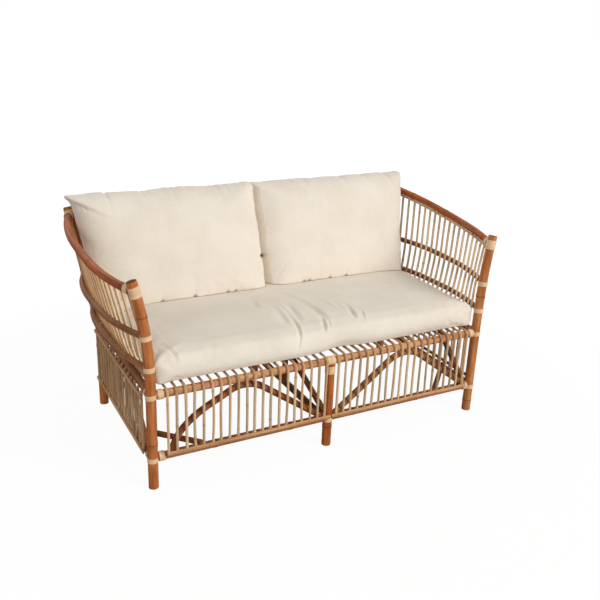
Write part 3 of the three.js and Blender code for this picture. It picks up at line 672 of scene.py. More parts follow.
# The arm's strip lies below its rail and inside it. Of the distance between them, this share goes
# inwards.
strip_lean = 0.5
strip_down = off_rail * math.sqrt(1 - strip_lean ** 2)


def inward_of(rail_at, share):
    """The level direction from a bowed rail towards the sitter."""
    ahead = rail_at(min(share + 0.001, 1)) - rail_at(max(share - 0.001, 0))
    inward = np.array((-ahead[1], ahead[0], 0))
    return inward / np.linalg.norm(inward)


def arm_strip(share):
    """A point of the strip that hangs under the arm rail, on its inner side."""
    return arm_rail(share) + inward_of(arm_rail, share) * off_rail * strip_lean - (0, 0, strip_down)


def arm_cane(share):
    """From the strip under the arm rail, inside the middle and lower rails, to the seat rail. A foot
    that would meet the deck's support rail ends above it."""
    seat_line = np.array((half_span, front_y + leg_depth * share, seat_rail))

    def against(rail_at, below):
        on = rail_at(share)
        run, rise = on[0] - below[0], on[2] - below[2]
        return on + inward_of(rail_at, share) * off_slim_rail * math.hypot(run, rise) / rise

    on_lower = against(low_side_rail, seat_line)
    on_middle = against(middle_rail, low_side_rail(share))
    run, rise = on_lower[0] - seat_line[0], on_lower[2] - seat_line[2]
    turn = math.atan2(rise, -run) - math.acos(off_rail / math.hypot(run, rise))
    foot = seat_line + np.array((-math.cos(turn), 0, math.sin(turn))) * off_rail
    foot = foot + np.array((-math.sin(turn), 0, -math.cos(turn))) * cane_tail
    clear = rail_radius + 2 * cane_radius + clearance
    if abs(foot[1] - deck_support_y) < clear:
        lift = seat_rail + clear - cane_radius - foot[2]
        foot = foot + (on_lower - foot) * lift / (on_lower[2] - foot[2])
    return softened([arm_strip(share), on_middle, on_lower, foot], 1)


arm_length = leg_depth + back_lean - front_setback
arm_shares = spread(side_first, arm_length - side_first, side_pitch) / arm_length
arm_strip_end = 0.026 / arm_length
strip_shares = np.linspace(arm_strip_end, 1 - arm_strip_end, 30)
for hand, side in hands:
    paths = [[point * (side, 1, 1) for point in arm_cane(share)] for share in arm_shares]
    paths.append([arm_strip(share) * (side, 1, 1) for share in strip_shares])
    canes(f"arm_canes_{hand}", paths, f"arm_spindles_{hand}", wander=0.0008, outward=(side, 0, 0))

back_foot, back_head = back_post(seat_rail), back_post(arm_back)
back_up = (back_head - back_foot) * (0, 1, 1)
back_up = back_up / np.linalg.norm(back_up)
back_inward = np.array((0, -back_up[2], back_up[1]))


def back_plane(place, climb, offset):
    """A point of the leaning back, at a share of its height and some way towards the sitter."""
    middle = back_foot + (back_head - back_foot) * climb
    return middle * (place / half_span, 1, 1) + back_inward * offset


back_strip_below = 0.0015
back_strip_start, back_strip_end = 0.0179, half_span - 0.040
deck_places = np.concatenate([front_places["left"], front_places["right"]])
between_deck_places = (deck_places[:-1] + deck_places[1:]) / 2


def back_strip(place):
    return back_plane(place, 1, off_rail) - back_up * back_strip_below


for hand, side in hands:
    paths = [[back_strip(place), back_plane(place, 0, off_rail) - back_up * cane_tail]
             for place in between_deck_places if place * side > back_strip_start]
    paths.append([back_strip(side * back_strip_start), back_strip(side * back_strip_end)])
    canes(f"back_canes_{hand}", paths, f"back_spindles_{hand}", outward=(0, 1, 0))


# Holding strips
# A split cane, round side out, is pinned over the cane ends along each bottom rail and along the
# top of the side and back panels.
def strip_tree():
    """Turns each line of a mesh into a flat-backed strip whose round side faces along "out". It
    has no growth rings, so its ring distance stays large."""
    given, line = line_tree("split_cane", "Width", "Depth", "Roundness")
    nodes = given.maker
    line = nodes.node("GeometryNodeSetCurveNormal", {"mode": "FREE"}, {
        "Curve": line, "Normal": from_points(nodes, "out", "FLOAT_VECTOR")})
    way = nodes.node("GeometryNodeSplineParameter")["Length"]
    line = stored(line, "along", way + from_points(nodes, "shift") * grain_shift)
    line = stored(line, "ring", 1.0)
    on_circle = nodes.node("ShaderNodeSeparateXYZ", inputs={0: nodes.node("GeometryNodeInputPosition")})
    flat = nodes.node("ShaderNodeCombineXYZ", inputs={
        "X": on_circle["X"].worked("MAXIMUM", 0.0) ** given["Roundness"] * given["Depth"],
        "Y": on_circle["Y"] * given["Width"] * 0.5})
    half_round = nodes.node("GeometryNodeSetPosition", inputs={
        "Geometry": round_section(given), "Position": flat})
    return swept(given, line, half_round)


split_cane = strip_tree()
strip_finish = rattan_finish("split_cane_strip", (208, 162, 114), (180, 130, 84), (224, 190, 146),
                             (124, 84, 52), gloss=0.45)
strip_width, strip_depth, strip_shift, strip_sunk = 0.014, 0.006, 0.014, 0.0015
strip_back = off_rail + cane_radius - strip_sunk
low_strip, high_strip = low_rail + strip_shift, seat_rail - strip_shift
front_strip_start, front_strip_end, past_last_cane = 0.002, half_span - 0.040, 0.018
front_strip_ends = ((-front_strip_end, -front_strip_start), (front_strip_start, front_strip_end))


def holding_strips(name, ends, outward):
    """Straight strips over canes. Their ends are given in the rails' plane, inside the canes."""
    outward = np.array(outward, float)
    lines = [([outward * strip_back + start, outward * strip_back + end],
              {"out": outward, "shift": chance.random()}) for start, end in ends]
    grown(name, lines, split_cane, {
        "Sides": 10, "Width": strip_width, "Depth": strip_depth, "Roundness": 0.8, "Step": 0.02,
        "Finish": strip_finish})


holding_strips("front_strips", [((start, front_y, low_strip), (end, front_y, low_strip))
                                for start, end in front_strip_ends], (0, -1, 0))
side_reach = max(side_places) + past_last_cane
for hand, side in hands:
    holding_strips(f"side_strips_{hand}", [((side * half_span, middle_y - side_reach, height),
                                            (side * half_span, middle_y + side_reach, height))
                                           for height in (low_strip, high_strip)], (side, 0, 0))
back_reach = max(back_places) + past_last_cane
holding_strips("back_strips", [((-back_reach, back_y, height), (back_reach, back_y, height))
                               for height in (low_strip, high_strip)], (0, 1, 0))


# Peel bindings
# Every joint is nailed and then bound with strips of shiny rattan peel: rings around the posts
# where the rails meet them, and close windings around the rails beside the corner posts.
peel_finish = rattan_finish("rattan_peel", (242, 210, 170), (228, 186, 140), (248, 224, 190), (160, 110, 70),
                            gloss=0.35)
peel_width, peel_depth = 0.0048, 0.0016
# A ring reaches this far below and above its height. The back posts' top ring sits high.
ring_half, arm_ring_half, top_ring_below, top_ring_above = 0.010, 0.018, 0.003, 0.014
under_rail, over_rail = low_rail - 0.005, seat_rail - 0.002
wound_radius, wound_reach, side_wound_reach = 0.0142, 0.038, 0.032
leg_wound_start, leg_wound_end, over_leg_reach = 0.046, rail_radius + 0.001, 0.0175
arm_wound_shares = ((0.024, 0.056), (0.950, 0.976))
steps_in_turn = 28


def winding(at, start, end, radius):
    """A close winding of peel around a pole, from one place along it to another."""
    axis = at(end) - at(start)
    length = np.linalg.norm(axis)
    one = np.cross(axis, (0.3, 1.0, 0.2))
    one = one / np.linalg.norm(one)
    other = np.cross(axis / length, one)
    turns = max(2, round(length / peel_width))
    points, outs = [], []
    for turn in np.linspace(0, turns, turns * steps_in_turn + 1):
        out = one * math.cos(turn * 2 * math.pi) + other * math.sin(turn * 2 * math.pi)
        share = (0.5 + turn * (turns - 1) / turns) / turns
        points.append(at(start + (end - start) * share) + out * radius)
        outs.append(out)
    return points, {"out": np.array(outs), "shift": chance.random()}


def bound(name, lines):
    grown(name, lines, split_cane, {
        "Sides": 10, "Width": peel_width, "Depth": peel_depth, "Roundness": 0.4, "Step": 0.003,
        "Finish": peel_finish})


def leg_at(height):
    return np.array((0, front_y, height))


for hand, side in hands:
    for place, post_at, low, top_ring in (
            ("front", front_post, lower_rail, (arm_front, arm_ring_half, arm_ring_half)),
            ("back", back_post, lower_rail_back, (arm_back, top_ring_below, top_ring_above))):
        rings = [(height, ring_half, ring_half) for height in (under_rail, over_rail, low, mid_rail)]
        bound(f"{place}_rings_{hand}", [
            winding(lambda z: post_at(z, side), height - below, height + above, post_radius)
            for height, below, above in (*rings, top_ring)])
bound("back_centre_rings", [
    winding(lambda z: back_post(z) * (0, 1, 1), height - ring_half, height + ring_half, post_radius)
    for height in (under_rail, over_rail, lower_rail_back, mid_rail)])
bound("front_centre_rings", [
    winding(leg_at, under_rail - ring_half, under_rail + ring_half, post_radius),
    winding(leg_at, seat_rail - leg_wound_start, seat_rail - leg_wound_end, post_radius),
    winding(lambda x: np.array((x, front_y, seat_rail)), -over_leg_reach, over_leg_reach, wound_radius)])

for hand, side in hands:
    windings = []
    for height in (seat_rail, low_rail):
        for y, inward in ((front_y, 1), (back_y, -1)):
            windings.append(winding(lambda x: np.array((x, y, height)), side * (half_span - wound_reach),
                                    side * (half_span - post_radius), wound_radius))
            windings.append(winding(lambda along: np.array((side * half_span, along, height)),
                                    y + inward * post_radius, y + inward * side_wound_reach, wound_radius))
    for start, end in arm_wound_shares:
        windings.append(winding(lambda share: arm_rail(share) * (side, 1, 1), start, end, wound_radius))
    bound(f"corner_windings_{hand}", windings)


# Pole ends and nails
# The sawn tops of the posts show darker grain and are a little domed. Small steel nails, pushed in
# to their heads, hold the strips.
dome_sides = 16
# Each ring of a dome, as shares of its radius and of its height.
dome_profile = ((1.0, -0.3), (0.97, 0.35), (0.7, 0.8), (0.35, 0.97))


def domes(name, spots, radius, height, finish):
    """Low domes at the given places, each facing its own way."""
    points, faces = [], []
    for place, facing in spots:
        turn = Vector(facing).normalized().to_track_quat("Z", "X").to_matrix()
        start = len(points)
        last = start + dome_sides * (len(dome_profile) - 1)
        for share, rise in dome_profile:
            for angle in np.arange(dome_sides) * 2 * math.pi / dome_sides:
                points.append(Vector(place) + turn @ Vector((
                    math.cos(angle) * radius * share, math.sin(angle) * radius * share, rise * height)))
        points.append(Vector(place) + turn @ Vector((0, 0, height)))
        faces.append(tuple(reversed(range(start, start + dome_sides))))
        for step in range(dome_sides):
            following = (step + 1) % dome_sides
            for ring in range(start, last, dome_sides):
                above = ring + dome_sides
                faces.append((ring + step, ring + following, above + following, above + step))
            faces.append((last + step, last + following, last + dome_sides))
    mesh = bpy.data.meshes.new(name)
    mesh.from_pydata(points, [], faces)
    mesh.materials.append(finish)
    mesh.polygons.foreach_set("use_smooth", [True] * len(faces))
    riding(name, mesh)


end_grain, grain_nodes = new_material("end_grain")
pores = noise(grain_nodes.node("ShaderNodeTexCoord")["Object"], 900.0, 2.0)
grain_colour = mixed(remapped(pores, 0.4, 0.62), srgb(122, 76, 44), srgb(74, 44, 26))
grain_nodes.node("ShaderNodeOutputMaterial", inputs={"Surface": grain_nodes.node(
    "ShaderNodeBsdfPrincipled", inputs={
        "Base Color": grain_colour, "Roughness": 0.8, "Specular IOR Level": 0.15})})
end_radius, end_height, end_run = post_radius * 0.985, 0.0016, 0.01
end_spots = [(post_at(top, side), post_at(top, side) - post_at(top - end_run, side))
             for post_at, top in ((front_post, front_top), (back_post, back_top)) for _, side in hands]
domes("post_ends", end_spots, end_radius, end_height, end_grain)

nail_finish, nail_nodes = new_material("nail")
nail_nodes.node("ShaderNodeOutputMaterial", inputs={"Surface": nail_nodes.node(
    "ShaderNodeBsdfPrincipled", inputs={"Base Color": srgb(112, 92, 66), "Metallic": 0.6, "Roughness": 0.5})})
nail_radius, nail_height, nail_sunk = 0.0014, 0.0006, 0.0002
strip_face = strip_back + strip_depth - nail_sunk
nail_reach, side_nail_reach = 0.56, 0.24
front_nail_pitch, nail_pitch = 0.058, 0.068
nail_spots = [((x, front_y - strip_face, low_strip), (0, -1, 0))
              for x in spread(-nail_reach, nail_reach, front_nail_pitch)]
for height in (low_strip, high_strip):
    nail_spots += [((x, back_y + strip_face, height), (0, 1, 0))
                   for x in spread(-nail_reach, nail_reach, nail_pitch)]
    nail_spots += [((side * (half_span + strip_face), middle_y + along, height), (side, 0, 0))
                   for _, side in hands for along in spread(-side_nail_reach, side_nail_reach, nail_pitch)]
domes("strip_nails", nail_spots, nail_radius, nail_height, nail_finish)


# Bench cushion
# A long foam-filled bag of canvas without piping, boxed at its edge. It lies loose on the deck, and
# its slack cloth falls in folds near the middle.
# The bench lies as high as in the CAD, whose five-sided canes rest on the rail by a flat.
cane_flat = cane_radius * math.cos(math.pi / 5)
deck_top = seat_rail + off_rail + cane_radius
beside_canes, seat_lift = 0.0006, 0.0009
seat_base = seat_rail + rail_radius + cane_flat + cane_radius + seat_lift
seat_thickness, seat_crown = 0.098, 0.016
seat_top = seat_base + seat_thickness
seat_half_width = half_span - off_rail - cane_radius - beside_canes
seat_front, seat_back = front_y + 0.010, back_y - off_rail - cane_radius - beside_canes
seat_half_depth, seat_middle = (seat_back - seat_front) / 2, (seat_back + seat_front) / 2
lower_round, upper_round, seat_shoulder = 0.010, 0.026, seat_top - 0.006
seat_drawn_in, seat_side_swell, fold_depth = 0.004, 0.013, 1.3


def squared(count, power):
    """Points around a rounded square, and how near each is to the middle of a side."""
    angle = np.arange(count) * 2 * math.pi / count
    x, y = (np.sign(value) * np.abs(value) ** power for value in (np.cos(angle), np.sin(angle)))
    return x, y, np.cos(2 * angle) ** 2


def bag_mesh(name, rings):
    """A closed mesh through rings of points, with a fan over the first and the last ring."""
    count = len(rings[0])
    ends = [ring.mean(axis=0, keepdims=True) for ring in (rings[0], rings[-1])]
    points = np.concatenate([ends[0], *rings, ends[1]])
    faces = []
    for step in range(count):
        following = (step + 1) % count
        faces.append((0, following + 1, step + 1))
        for ring in range(len(rings) - 1):
            low, high = ring * count + 1, (ring + 1) * count + 1
            faces.append((low + step, low + following, high + following, high + step))
        last = (len(rings) - 1) * count + 1
        faces.append((last + step, last + following, len(points) - 1))
    mesh = bpy.data.meshes.new(name)
    mesh.from_pydata([tuple(point) for point in points], [], faces)
    return mesh


def through_modifier(name, mesh, kind, **settings):
    """A new mesh: the given one after one modifier."""
    holder = bpy.data.objects.new(name, mesh)
    scene.collection.objects.link(holder)
    modifier = holder.modifiers.new("shape", kind)
    for key, value in settings.items():
        setattr(modifier, key, value)
    return evaluated(holder)


def places_of(mesh):
    values = np.empty(len(mesh.vertices) * 3, np.float32)
    mesh.vertices.foreach_get("co", values)
    return values.reshape(-1, 3).astype(float)


def move_to(mesh, places):
    mesh.vertices.foreach_set("co", places.astype(np.float32).ravel())
    mesh.update()


def slow_part(mesh, moved, rounds=60):
    """The smooth part of a movement: each point's, blended many times with its neighbours'."""
    ends = np.empty(len(mesh.edges) * 2, np.int32)
    mesh.edges.foreach_get("vertices", ends)
    one, other = ends[0::2], ends[1::2]
    count = len(moved)
    neighbours = np.bincount(ends, minlength=count)[:, None]
    for _ in range(rounds):
        total = [np.bincount(one, moved[other, axis], count) + np.bincount(other, moved[one, axis], count)
                 for axis in range(3)]
        moved = moved * 0.5 + np.stack(total, axis=1) * 0.5 / neighbours
    return moved


def blown_up(name, mesh, cap, frames=14):
    """The mesh with the puckers that it gets in a few frames as an inflated cloth. The slow swell of
    the whole bag is left out, and no point moves further than its cap."""
    before = places_of(mesh)
    holder = bpy.data.objects.new(name, mesh)
    scene.collection.objects.link(holder)
    cloth = holder.modifiers.new("cloth", "CLOTH")
    cloth.settings.quality = 4
    cloth.settings.mass = 0.3
    cloth.settings.tension_stiffness = 25
    cloth.settings.compression_stiffness = 25
    cloth.settings.shear_stiffness = 12
    cloth.settings.bending_stiffness = 0.8
    cloth.settings.use_pressure = True
    cloth.settings.uniform_pressure_force = 4.0
    cloth.settings.effector_weights.gravity = 0
    cloth.collision_settings.use_collision = False
    for number in range(1, frames + 1):
        scene.frame_set(number)
    graph = bpy.context.evaluated_depsgraph_get()
    moved = places_of(holder.evaluated_get(graph).data) - before
    scene.frame_set(1)
    bpy.data.objects.remove(holder)
    moved -= slow_part(mesh, moved)
    length = np.linalg.norm(moved, axis=1, keepdims=True)
    move_to(mesh, before + moved * np.minimum(1, cap / np.maximum(length, 1e-9)))
    return mesh


def waves(places, scales, seed, slants=5):
    """Smooth unevenness from sums of slanted waves, between about -1 and 1."""
    source = np.random.default_rng(seed)
    total = np.zeros(len(places))
    for length in scales:
        for _ in range(slants):
            direction = source.normal(size=3)
            direction /= np.linalg.norm(direction)
            total += np.sin(places @ direction * 2 * math.pi / (length * source.uniform(0.8, 1.3))
                            + source.uniform(0, 6.3))
    return total / math.sqrt(slants * len(scales)) / 1.4


def along_line(u, v, line):
    """Signed distance of each point to a line, positive on the left of its course, and the way along
    it."""
    best = np.full(len(u), 1e9)
    signed, way = np.zeros(len(u)), np.zeros(len(u))
    lengths = [math.dist(one, other) for one, other in zip(line, line[1:])]
    gone = 0.0
    for (x, y), (x2, y2), length in zip(line, line[1:], lengths):
        dx, dy = (x2 - x) / length, (y2 - y) / length
        t = np.clip((u - x) * dx + (v - y) * dy, 0, length)
        off_x, off_y = u - x - t * dx, v - y - t * dy
        distance = np.hypot(off_x, off_y)
        nearer = distance < best
        best = np.where(nearer, distance, best)
        signed = np.where(nearer, np.copysign(distance, off_x * -dy + off_y * dx), signed)
        way = np.where(nearer, (gone + t) / sum(lengths), way)
        gone += length
    return signed, way


def crease(u, v, line, depth, width, broad, peak):
    """A soft trough along a line, with a steep wall on one side, a broad wall on the other and a
    low ridge beside the steep one. It is deepest at one share of its length."""
    signed, way = along_line(u, v, line)
    wall = np.where(signed < 0, width * broad, width)
    strength = np.where(way < peak, (way / peak) ** 1.3, 1 - ((way - peak) / (1 - peak)) ** 2)
    ridge = np.exp(-((signed - width * 2) / (width * 1.2)) ** 2)
    return depth * strength * (0.4 * ridge - np.exp(-(signed / wall) ** 2))


thread_pitch = 0.0016


def canvas_material():
    """Unbleached cotton canvas: a plain weave with thicker and thinner threads, faint flecks, and
    brown marks where the mesh asks for them, partly seam thread and partly painted shade."""
    material, nodes = new_material("cotton_canvas")
    cloth = on_mesh(nodes, "cloth", "Vector")

    def split(vector):
        parts = nodes.node("ShaderNodeSeparateXYZ", inputs={0: vector})
        return [parts[axis] for axis in "XYZ"]

    x, y, z = ((part * (2 * math.pi / thread_pitch)).worked("SINE") for part in split(cloth))
    x_facing, y_facing, z_facing = ((part * part) ** 3 for part in split(on_mesh(nodes, "facing", "Vector")))
    weave = x_facing * y * z + y_facing * x * z + z_facing * x * y
    weave = weave / (x_facing + y_facing + z_facing + 0.001)
    slubs = noise(vector_maths("MULTIPLY", cloth, (18.0, 420.0, 420.0)), 1.0, 2.0) + noise(
        vector_maths("MULTIPLY", cloth, (420.0, 18.0, 18.0)), 1.0, 2.0)
    slow = noise(cloth, 7.0, 3.0)
    flecks = remapped(noise(cloth, 260.0, 1.0), 0.7, 0.82)
    colour = mixed(remapped(slow, 0.35, 0.65), srgb(239, 229, 213), srgb(232, 220, 203))
    colour = mixed(remapped(slubs, 0.8, 1.3) * 0.35, colour, srgb(247, 239, 225))
    colour = mixed(flecks * 0.35, colour, srgb(196, 176, 146))
    # Painted shade and thread: the mesh's seam marks are mixed towards dark brown.
    colour = mixed(on_mesh(nodes, "thread_and_painted_shade") * 0.9, colour, srgb(104, 74, 50))
    relief = nodes.node("ShaderNodeBump", inputs={
        "Strength": 0.4, "Distance": 0.0004, "Height": weave * 0.5 + slubs * 0.6})
    shader = nodes.node("ShaderNodeBsdfPrincipled", inputs={
        "Base Color": colour, "Roughness": slow * 0.1 + 0.82, "Normal": relief,
        "Sheen Weight": 0.15, "Sheen Roughness": 0.5})
    nodes.node("ShaderNodeOutputMaterial", inputs={"Surface": shader})
    return material


canvas_finish = canvas_material()


def canvas(name, mesh, node, turn=np.identity(3)):
    """The finished cushion piece, with its own cloth directions on the mesh for the weave."""
    keep_on(mesh, "cloth", places_of(mesh) @ turn.T)
    keep_on(mesh, "facing", normals_of(mesh) @ turn.T)
    mesh.materials.clear()
    mesh.materials.append(canvas_finish)
    mesh.polygons.foreach_set("use_smooth", [True] * len(mesh.polygons))
    mesh.name = name
    piece = bpy.data.objects.new(name, mesh)
    scene.collection.objects.link(piece)
    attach(piece, "root")
    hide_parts(node)


seat_points, seat_corner = 240, 0.03
outline_x, outline_y, drawn = squared(seat_points, seat_corner)
seat_profile = [(lower_round * (1 - math.sin(a)), seat_base + 0.001 + lower_round * (1 - math.cos(a)))
                for a in np.linspace(0.05, math.pi / 2, 5)]
seat_profile += [(upper_round * (1 - math.cos(a)), seat_shoulder - upper_round * (1 - math.sin(a)))
                 for a in np.linspace(0, math.pi / 2, 7)]
seat_profile += [(upper_round + (seat_half_depth - upper_round) * share,
                  seat_shoulder + seat_crown * (1 - (1 - share) ** 2))
                 for share in (0.1, 0.25, 0.45, 0.7, 0.9)]
seat_rings = []
for inset, height in seat_profile:
    climb = min(1, max(0, (height - seat_base) / seat_thickness))
    pull = inset + seat_drawn_in * drawn * climb
    seat_rings.append(np.stack([
        outline_x * (seat_half_width + seat_side_swell * math.sin(climb * math.pi) - pull),
        seat_middle + outline_y * (seat_half_depth - pull), np.full(seat_points, height)], axis=1))
seat_mesh = through_modifier("bench", bag_mesh("bench", seat_rings), "REMESH", mode="VOXEL", voxel_size=0.006)
seat_mesh = blown_up("bench", seat_mesh, cap=0.005)
seat_mesh = through_modifier("bench", seat_mesh, "SUBSURF", levels=1, render_levels=1)

seat_places, seat_normals = places_of(seat_mesh), normals_of(seat_mesh)
upper = np.clip((seat_places[:, 2] - seat_base - 0.01) / 0.03, 0, 1)
rise = waves(seat_places, (0.35, 0.16), 5) * 0.0022 + waves(seat_places, (0.07, 0.035), 6) * 0.0005
# Each fold has a line forwards over the top and on down the front, a depth and a width, how many
# times as broad the wall towards the sofa's left is, and the share of its length where it is deepest.
down_front = seat_places[:, 1] - middle_y - np.maximum(0, seat_top + 0.008 - seat_places[:, 2])
for line, depth, width, broad, peak in (
        (((-0.081, -0.006), (-0.083, -0.105), (-0.086, -0.159), (-0.091, -0.215), (-0.1, -0.274),
          (-0.111, -0.319), (-0.132, -0.378)), 0.0050, 0.0038, 2.2, 0.66),
        (((-0.042, -0.047), (-0.058, -0.115), (-0.064, -0.176), (-0.064, -0.222)), 0.0040, 0.009, 1.6, 0.5),
        (((0.022, -0.188), (0.005, -0.24), (-0.004, -0.277), (-0.014, -0.31)), 0.0065, 0.0042, 2.0, 0.6),
        (((-0.073, 0.098), (-0.032, 0.049), (-0.011, -0.013), (0.004, -0.07), (0.017, -0.134), (0.02, -0.203),
          (0.02, -0.246)), 0.0066, 0.010, 1.8, 0.78),
        (((0.021, -0.235), (0.017, -0.252), (0.014, -0.285)), 0.0035, 0.0035, 1.5, 0.5),
        (((0.150, -0.125), (0.143, -0.156), (0.136, -0.195), (0.126, -0.239), (0.118, -0.271)),
         0.0055, 0.0055, 1.8, 0.6),
        (((0.178, -0.187), (0.160, -0.240), (0.146, -0.290)), 0.0030, 0.004, 1.5, 0.5),
        (((-0.108, -0.034), (-0.107, -0.103), (-0.115, -0.163), (-0.122, -0.235)), 0.0048, 0.010, 1.6, 0.65),
        (((-0.151, 0.045), (-0.157, -0.009), (-0.164, -0.075)), 0.0030, 0.011, 1.5, 0.5),
        (((0.063, -0.02), (0.081, -0.106), (0.095, -0.194)), 0.0020, 0.006, 2.0, 0.5),
        (((0.108, -0.105), (0.112, -0.127), (0.118, -0.19)), 0.0020, 0.005, 2.0, 0.5),
        (((-0.559, -0.202), (-0.536, -0.283), (-0.53, -0.33)), 0.0035, 0.006, 1.5, 0.6)):
    rise += crease(seat_places[:, 0], down_front, line, depth * fold_depth, width, broad, peak)
seat_places += seat_normals * (rise * upper)[:, None]

# The lower front edge is drawn back and up beside the middle, and hangs further out on its left.
front_reach, hollow_depth, hollow_rise, bulge_depth, hang_depth, front_swell = (
    0.035, 0.014, 0.006, 0.006, 0.006, 0.003)
front_face = np.clip((seat_front + front_reach - seat_places[:, 1]) / front_reach, 0, 1)
low_share = np.clip((seat_top + 0.01 - seat_places[:, 2]) / 0.11, 0, 1)
hollow = np.exp(-((seat_places[:, 0] - 0.05) / 0.055) ** 2)
bulge = np.exp(-((seat_places[:, 0] + 0.15) / 0.11) ** 2)
left_hang = np.clip((0.02 - seat_places[:, 0]) / 0.1, 0, 1)
seat_places[:, 1] += front_face * low_share * (
    hollow_depth * hollow - bulge_depth * bulge - hang_depth * left_hang - front_swell)
seat_places[:, 2] += front_face * low_share ** 2 * hollow_rise * hollow
seat_places[:, 2] = np.maximum(seat_places[:, 2], deck_top + beside_canes)
move_to(seat_mesh, seat_places)
canvas("bench_cushion", seat_mesh, "seat_cushion")


# Back pillows
# Two envelope-like bags of the same canvas, filled with fibre, lean loose on the back. Their seams
# are pinched at the stitches, the corners stand out as ears, and the lower edge is squashed.
pillow_height, pillow_thickness = 0.424, 0.180
pillow_top_width, pillow_bottom_width, foot_forward = 0.682, 0.620, 0.055
mean_half_width = (pillow_bottom_width + pillow_top_width) / 4
meeting_x, meeting_gap = -0.030, 0.0015
left_drawn_in, right_drawn_in, bench_gap = 0.017, 0.005, 0.0015
upper_ear, lower_ear, seam_lap = 0.026, 0.012, 0.016
wave_height, pinch_depth, scallop_pitch, seam_reach = 0.0025, 0.0045, 0.115, 0.014
pillow_points, pillow_corner, ear_reach, lap_reach = 200, 0.08, 0.10, 0.05
belly_edge_power, belly_power = 6.4, 0.62
canes_gap, meeting_slant, meeting_reach, beside_meeting = 0.002, 0.6, 0.06, 0.0012
seam_half, pillow_belly = 0.004, pillow_thickness / 2 - 0.012
pillow_off_canes, pillow_below_bench = 0.074, 0.056
pillow_base = back_plane(0, 0, off_rail + cane_radius + pillow_off_canes)
pillow_base = pillow_base + back_up * (seat_top - pillow_below_bench - pillow_base[2]) / back_up[2]
pillow_axes = np.array(((1, 0, 0), back_up, back_inward))
# Places around a bag's seam: the top has those near 0, the lower edge those near 2, and the sides
# those from 4 and from 5 upwards.
top_seam, lower_seam, left_seam, right_seam = (-0.75, 0.75), (1.25, 2.75), (4.0, 4.45), (5.0, 5.45)
pillow_shares = (0.15, 0.35, 0.5, 0.62, 0.72, 0.8, 0.87, 0.925, 0.965, 0.99)
seat_surface = BVHTree.FromPolygons([tuple(place) for place in seat_places],
                                    [tuple(face.vertices) for face in seat_mesh.polygons])


def pillow_half_width(climb):
    return (pillow_bottom_width + (pillow_top_width - pillow_bottom_width) * climb) / 2


def pillow_rings(side):
    """Rings of one bag, back to front. Where the pillows meet, the left one's seam lies in front."""
    x, y, drawn = squared(pillow_points, pillow_corner)
    ear = np.exp(-((np.abs(x * y) - 1) / ear_reach) ** 2) * np.where(y > 0, upper_ear, lower_ear)
    meeting = x * side < 0
    drawn_in = right_drawn_in if side > 0 else left_drawn_in
    middle = pillow_base + (meeting_x + side * (meeting_gap + mean_half_width)) * pillow_axes[0]
    rings = []
    for face, share in (*((-1, share) for share in pillow_shares), (0, 1.0),
                        *((1, share) for share in reversed(pillow_shares))):
        climb = 0.5 + y * share / 2
        half_width = pillow_half_width(climb)
        out = 1 + ear * share ** 8
        across = x * share * out * (half_width + np.where(meeting, 0.003, 0.001 - drawn_in * drawn))
        depth = seam_half * (share < 1) + pillow_belly * (1 - share ** belly_edge_power) ** belly_power
        lapped = -side * seam_lap * np.exp(-(1 - np.abs(x) * share) * half_width / lap_reach) * meeting
        slant = side * (half_width - mean_half_width)
        rings.append(middle + np.outer(across + slant, pillow_axes[0])
                     + np.outer((0.503 + y * share * out / 2) * pillow_height, pillow_axes[1])
                     + np.outer((1 - climb) * foot_forward + face * depth + lapped, pillow_axes[2]))
    return rings


def pinched(around, inside, gathers, seed):
    """How far the seam's thread draws each point in: by many small stitches, and by the gathers."""
    source = np.random.default_rng(seed)
    stitches = []
    for place, end in (top_seam, lower_seam, left_seam, right_seam):
        while place < end:
            place += source.uniform(0.028, 0.062)
            width, strength = source.uniform(0.004, 0.009), source.uniform(0.1, 0.6)
            stitches.append((place, strength, source.uniform(0.015, 0.04), width, 0.12))
    stitches += [(place, strength, reach, 0.006, 0.06) for place, strength, reach in gathers]
    pinch = np.zeros(len(around))
    for place, strength, reach, width, widening in stitches:
        pinch += strength * np.exp(-((around - place) / (width + inside * widening)) ** 2) * np.exp(
            -np.maximum(inside, 0) / reach)
    return pinch


def laid(places, side):
    """Keeps a pillow in front of the back canes, on its own side of the other pillow, and on the
    bench. Gives how far each point is above the bench, and 1 for those well above it."""
    behind = (places - back_foot) @ back_inward
    places += np.outer(np.maximum(0, off_rail + cane_radius + canes_gap - behind), back_inward)
    local = (places - pillow_base) @ pillow_axes.T
    forward = local[:, 2] - (1 - local[:, 1] / pillow_height) * foot_forward
    forward = np.clip(forward, -meeting_reach, meeting_reach)
    edge = meeting_x + meeting_slant * forward + side * beside_meeting
    places[:, 0] = np.maximum(places[:, 0], edge) if side > 0 else np.minimum(places[:, 0], edge)
    above = np.ones(len(places))
    for index in np.nonzero(places[:, 2] < seat_top + 0.03)[0]:
        hit, normal, _, _ = seat_surface.find_nearest(places[index])
        above[index] = max(0, (places[index] - np.array(hit)) @ np.array(normal))
        if above[index] < bench_gap:
            top, _, _, _ = seat_surface.ray_cast((places[index][0], places[index][1], 0.6), (0, 0, -1))
            if top is not None:
                places[index][2] = max(places[index][2], top[2] + bench_gap)
    return above


def thread_and_shade_marks(around, inside, above, gathers, seed):
    """Brown marks at the seam, partly thread and partly painted shade: a faint painted contact shadow
    along the bench, and strong painted shade in the pinch at each gather of the lower edge and the sides."""
    # A faint painted contact shadow where the pillow rests on the bench, dotted like thread.
    marks = np.exp(-(above / 0.003) ** 2) * (0.28 + 0.22 * np.sin(around * 37 + seed))
    for place, _, _ in gathers:
        if place > lower_seam[0]:
            depth = above / 0.008 if place < lower_seam[1] else inside / 0.006
            marks += 1.3 * np.exp(-((around - place) / 0.0065) ** 2 - depth ** 2)
    return np.minimum(marks, 1)


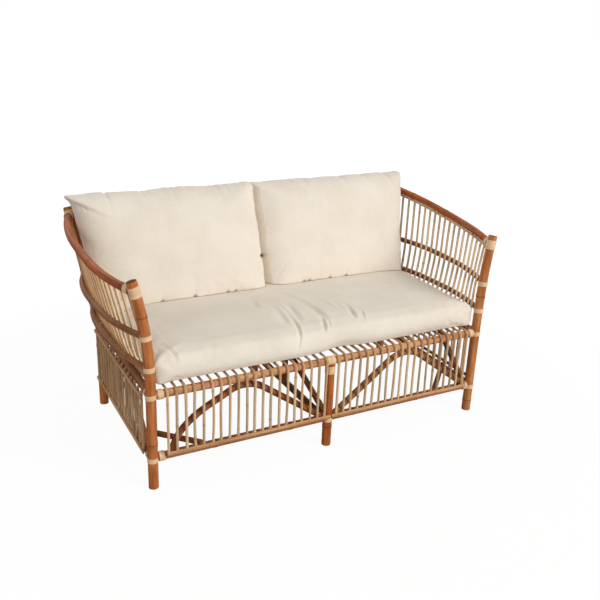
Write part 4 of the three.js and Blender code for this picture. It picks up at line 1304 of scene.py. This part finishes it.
def pillow(name, side, node, seed, gathers):
    """One pillow. Gathers are the deep stitches of its seam, each as the place around it, a strength
    and a reach."""
    mesh = bag_mesh(name, pillow_rings(side))
    mesh = through_modifier(name, mesh, "REMESH", mode="VOXEL", voxel_size=0.005)
    mesh = blown_up(name, mesh, cap=0.007)
    mesh = through_modifier(name, mesh, "SUBSURF", levels=1, render_levels=1)
    places, normals = places_of(mesh), normals_of(mesh)

    local = (places - pillow_base) @ pillow_axes.T
    climb = local[:, 1] / pillow_height
    half_width = pillow_half_width(climb)
    centre = meeting_x + side * (meeting_gap + half_width)
    to_side = half_width - np.abs(local[:, 0] - centre)
    to_end = np.minimum(local[:, 1], pillow_height - local[:, 1])
    inside = np.minimum(to_side, to_end)
    side_start = np.where(local[:, 0] < centre, left_seam[0], right_seam[0])
    around = np.where(to_side < to_end, local[:, 1] + side_start,
                      local[:, 0] + np.where(climb > 0.5, 0.0, 2.0))
    pinch = pinched(around, inside, gathers, seed)
    rise = waves(places, (0.3, 0.15), seed) * wave_height
    rise -= pinch * pinch_depth * np.clip(inside / 0.012, 0.15, 1)
    scallop = 0.2 - 0.5 * np.abs(np.sin(around * math.pi / scallop_pitch + seed))
    at_seam = np.exp(-(np.maximum(inside, 0) / seam_reach) ** 2)
    inward = np.where((to_side < to_end)[:, None], np.outer(-np.sign(local[:, 0] - centre), pillow_axes[0]),
                      np.outer(-np.sign(local[:, 1] - pillow_height / 2), pillow_axes[1]))
    places += normals * rise[:, None] + inward * (at_seam * (scallop * 0.004 + pinch * 0.003))[:, None]
    above = laid(places, side)
    move_to(mesh, places)
    keep_on(mesh, "thread_and_painted_shade", thread_and_shade_marks(around, inside, above, gathers, seed))
    canvas(name, mesh, node, turn=pillow_axes)


pillow("back_pillow_left", -1, "back_cushion_left", 31, (
    (-0.576, 1.2, 0.03), (-0.452, 0.8, 0.03), (-0.344, 1.1, 0.035), (-0.176, 0.9, 0.03), (1.559, 1.0, 0.02),
    (1.678, 1.6, 0.06), (1.803, 1.2, 0.02), (1.833, 1.2, 0.02), (5.15, 1.2, 0.02)))
pillow("back_pillow_right", 1, "back_cushion_right", 47, (
    (0.190, 1.2, 0.04), (0.362, 1.0, 0.03), (0.568, 1.3, 0.03), (2.006, 1.2, 0.02), (2.116, 1.3, 0.02),
    (2.138, 1.0, 0.02), (2.229, 1.2, 0.02), (2.301, 1.2, 0.02), (4.15, 1.0, 0.03)))
